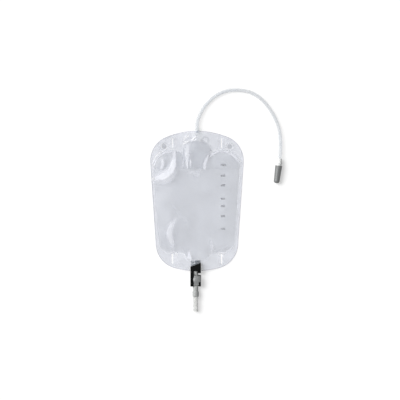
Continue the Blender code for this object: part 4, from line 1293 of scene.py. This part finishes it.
def inkMesh(text, y):
    # The text's outline as a mesh, each point laid on the film at its x and y
    curve = bpy.data.curves.new("ink", "FONT")
    curve.body = text
    curve.size = printed["size"]
    curve.offset = printed["bold"]
    curve.align_x = curve.align_y = "CENTER"
    curve.resolution_u = 4
    words = linked("ink", curve)
    graph = bpy.context.evaluated_depsgraph_get()
    mesh = bpy.data.meshes.new_from_object(words.evaluated_get(graph))
    bpy.data.objects.remove(words)
    places = placesOf(mesh).astype(float)
    places[:, :2] += fromPixels((printed["x"], y))[0]
    places[:, 2] = filmHeight(places[:, 0], places[:, 1]) + bag["wall"] / 2 + printed["lift"]
    mesh.vertices.foreach_set("co", places.astype(np.float32).ravel())
    mesh.materials.clear()
    return mesh


inkMeshes = [inkMesh(text, y) for text, y in printed["marks"]]
volumePrint = newPiece("volumePrint", joinedMesh(inkMeshes), "bag", [printInk], 0)
finished(walled(volumePrint, printed["thickness"], -1.0))
print("print made")


# Stage: pale floor, soft light from the upper left, and a pale surround
stage = {
    "reach": 6.0,
    "floorZ": -0.2 * mm,  # just under the bag, so that the two never lie in one plane
    "floorColour": "#c5c5c5",
    "floorGlow": 0.5,
    "ambient": 0.2,
    "filmLayers": 24,  # so that light gets through every layer of film
    # degrees from +X, degrees from straight above, degrees across, strength
    "lamps": {"softbox": (150, 41, 34, 2.75), "sidePanel": (182, 64, 40, 0.95)},
}


def seenStraight(tree):
    # 1 for a ray from the camera, off a gloss or through glass, else 0
    path = addNode(tree, "ShaderNodeLightPath")
    seen = path.outputs["Is Camera Ray"]
    for ray in ("Is Glossy Ray", "Is Transmission Ray"):
        both = {0: seen, 1: path.outputs[ray]}
        seen = addNode(tree, "ShaderNodeMath", both, operation="MAXIMUM").outputs[0]
    return seen


def paleStage():
    # White paper to the eye, and a white surround that gives the object only its ambient share of light
    corners = [(x * stage["reach"], y * stage["reach"], stage["floorZ"])
               for x, y in ((-1, -1), (1, -1), (1, 1), (-1, 1))]
    floorMesh = bpy.data.meshes.new("floor")
    floorMesh.from_pydata(corners, [], [(0, 1, 2, 3)])
    floor = linked("floor", floorMesh)
    paper = bpy.data.materials.new("matt_white_paper")
    tree = clearTree(paper)
    share = {0: seenStraight(tree), 1: stage["floorGlow"]}
    glow = addNode(tree, "ShaderNodeMath", share, operation="MULTIPLY")
    matt = addNode(tree, "ShaderNodeBsdfDiffuse", {"Color": linear(stage["floorColour"])})
    shine = addNode(tree, "ShaderNodeEmission", {"Color": linear("#ffffff"), "Strength": glow.outputs[0]})
    both = addNode(tree, "ShaderNodeAddShader", {0: matt.outputs[0], 1: shine.outputs[0]})
    addNode(tree, "ShaderNodeOutputMaterial", {"Surface": both.outputs[0]})
    floorMesh.materials.append(paper)

    world = bpy.data.worlds.new("surround")
    bpy.context.scene.world = world
    tree = clearTree(world)
    strength = addNode(
        tree, "ShaderNodeMapRange", {"Value": seenStraight(tree), "To Min": stage["ambient"], "To Max": 1.0}
    )
    sky = addNode(
        tree, "ShaderNodeBackground", {"Color": linear("#ffffff"), "Strength": strength.outputs["Result"]}
    )
    addNode(tree, "ShaderNodeOutputWorld", {"Surface": sky.outputs[0]})


def softSun(name, azimuth, fromAbove, wide, strength):
    # A soft round light far away, by its direction in degrees: azimuth from +X, and its angle from
    # straight above
    lamp = bpy.data.lights.new(name, "SUN")
    lamp.angle = math.radians(wide)
    lamp.energy = strength
    tilt = math.radians(fromAbove)
    turn = math.radians(azimuth)
    place = Vector((math.sin(tilt) * math.cos(turn), math.sin(tilt) * math.sin(turn), math.cos(tilt)))
    holder = linked(name, lamp)
    holder.location = place * 2
    holder.rotation_mode = "QUATERNION"
    holder.rotation_quaternion = (-place).to_track_quat("-Z", "Y")


paleStage()
for name, lamp in stage["lamps"].items():
    softSun(name, *lamp)
bpy.context.scene.cycles.transparent_max_bounces = stage["filmLayers"]
bpy.context.scene.view_settings.view_transform = "Standard"
print("stage made")
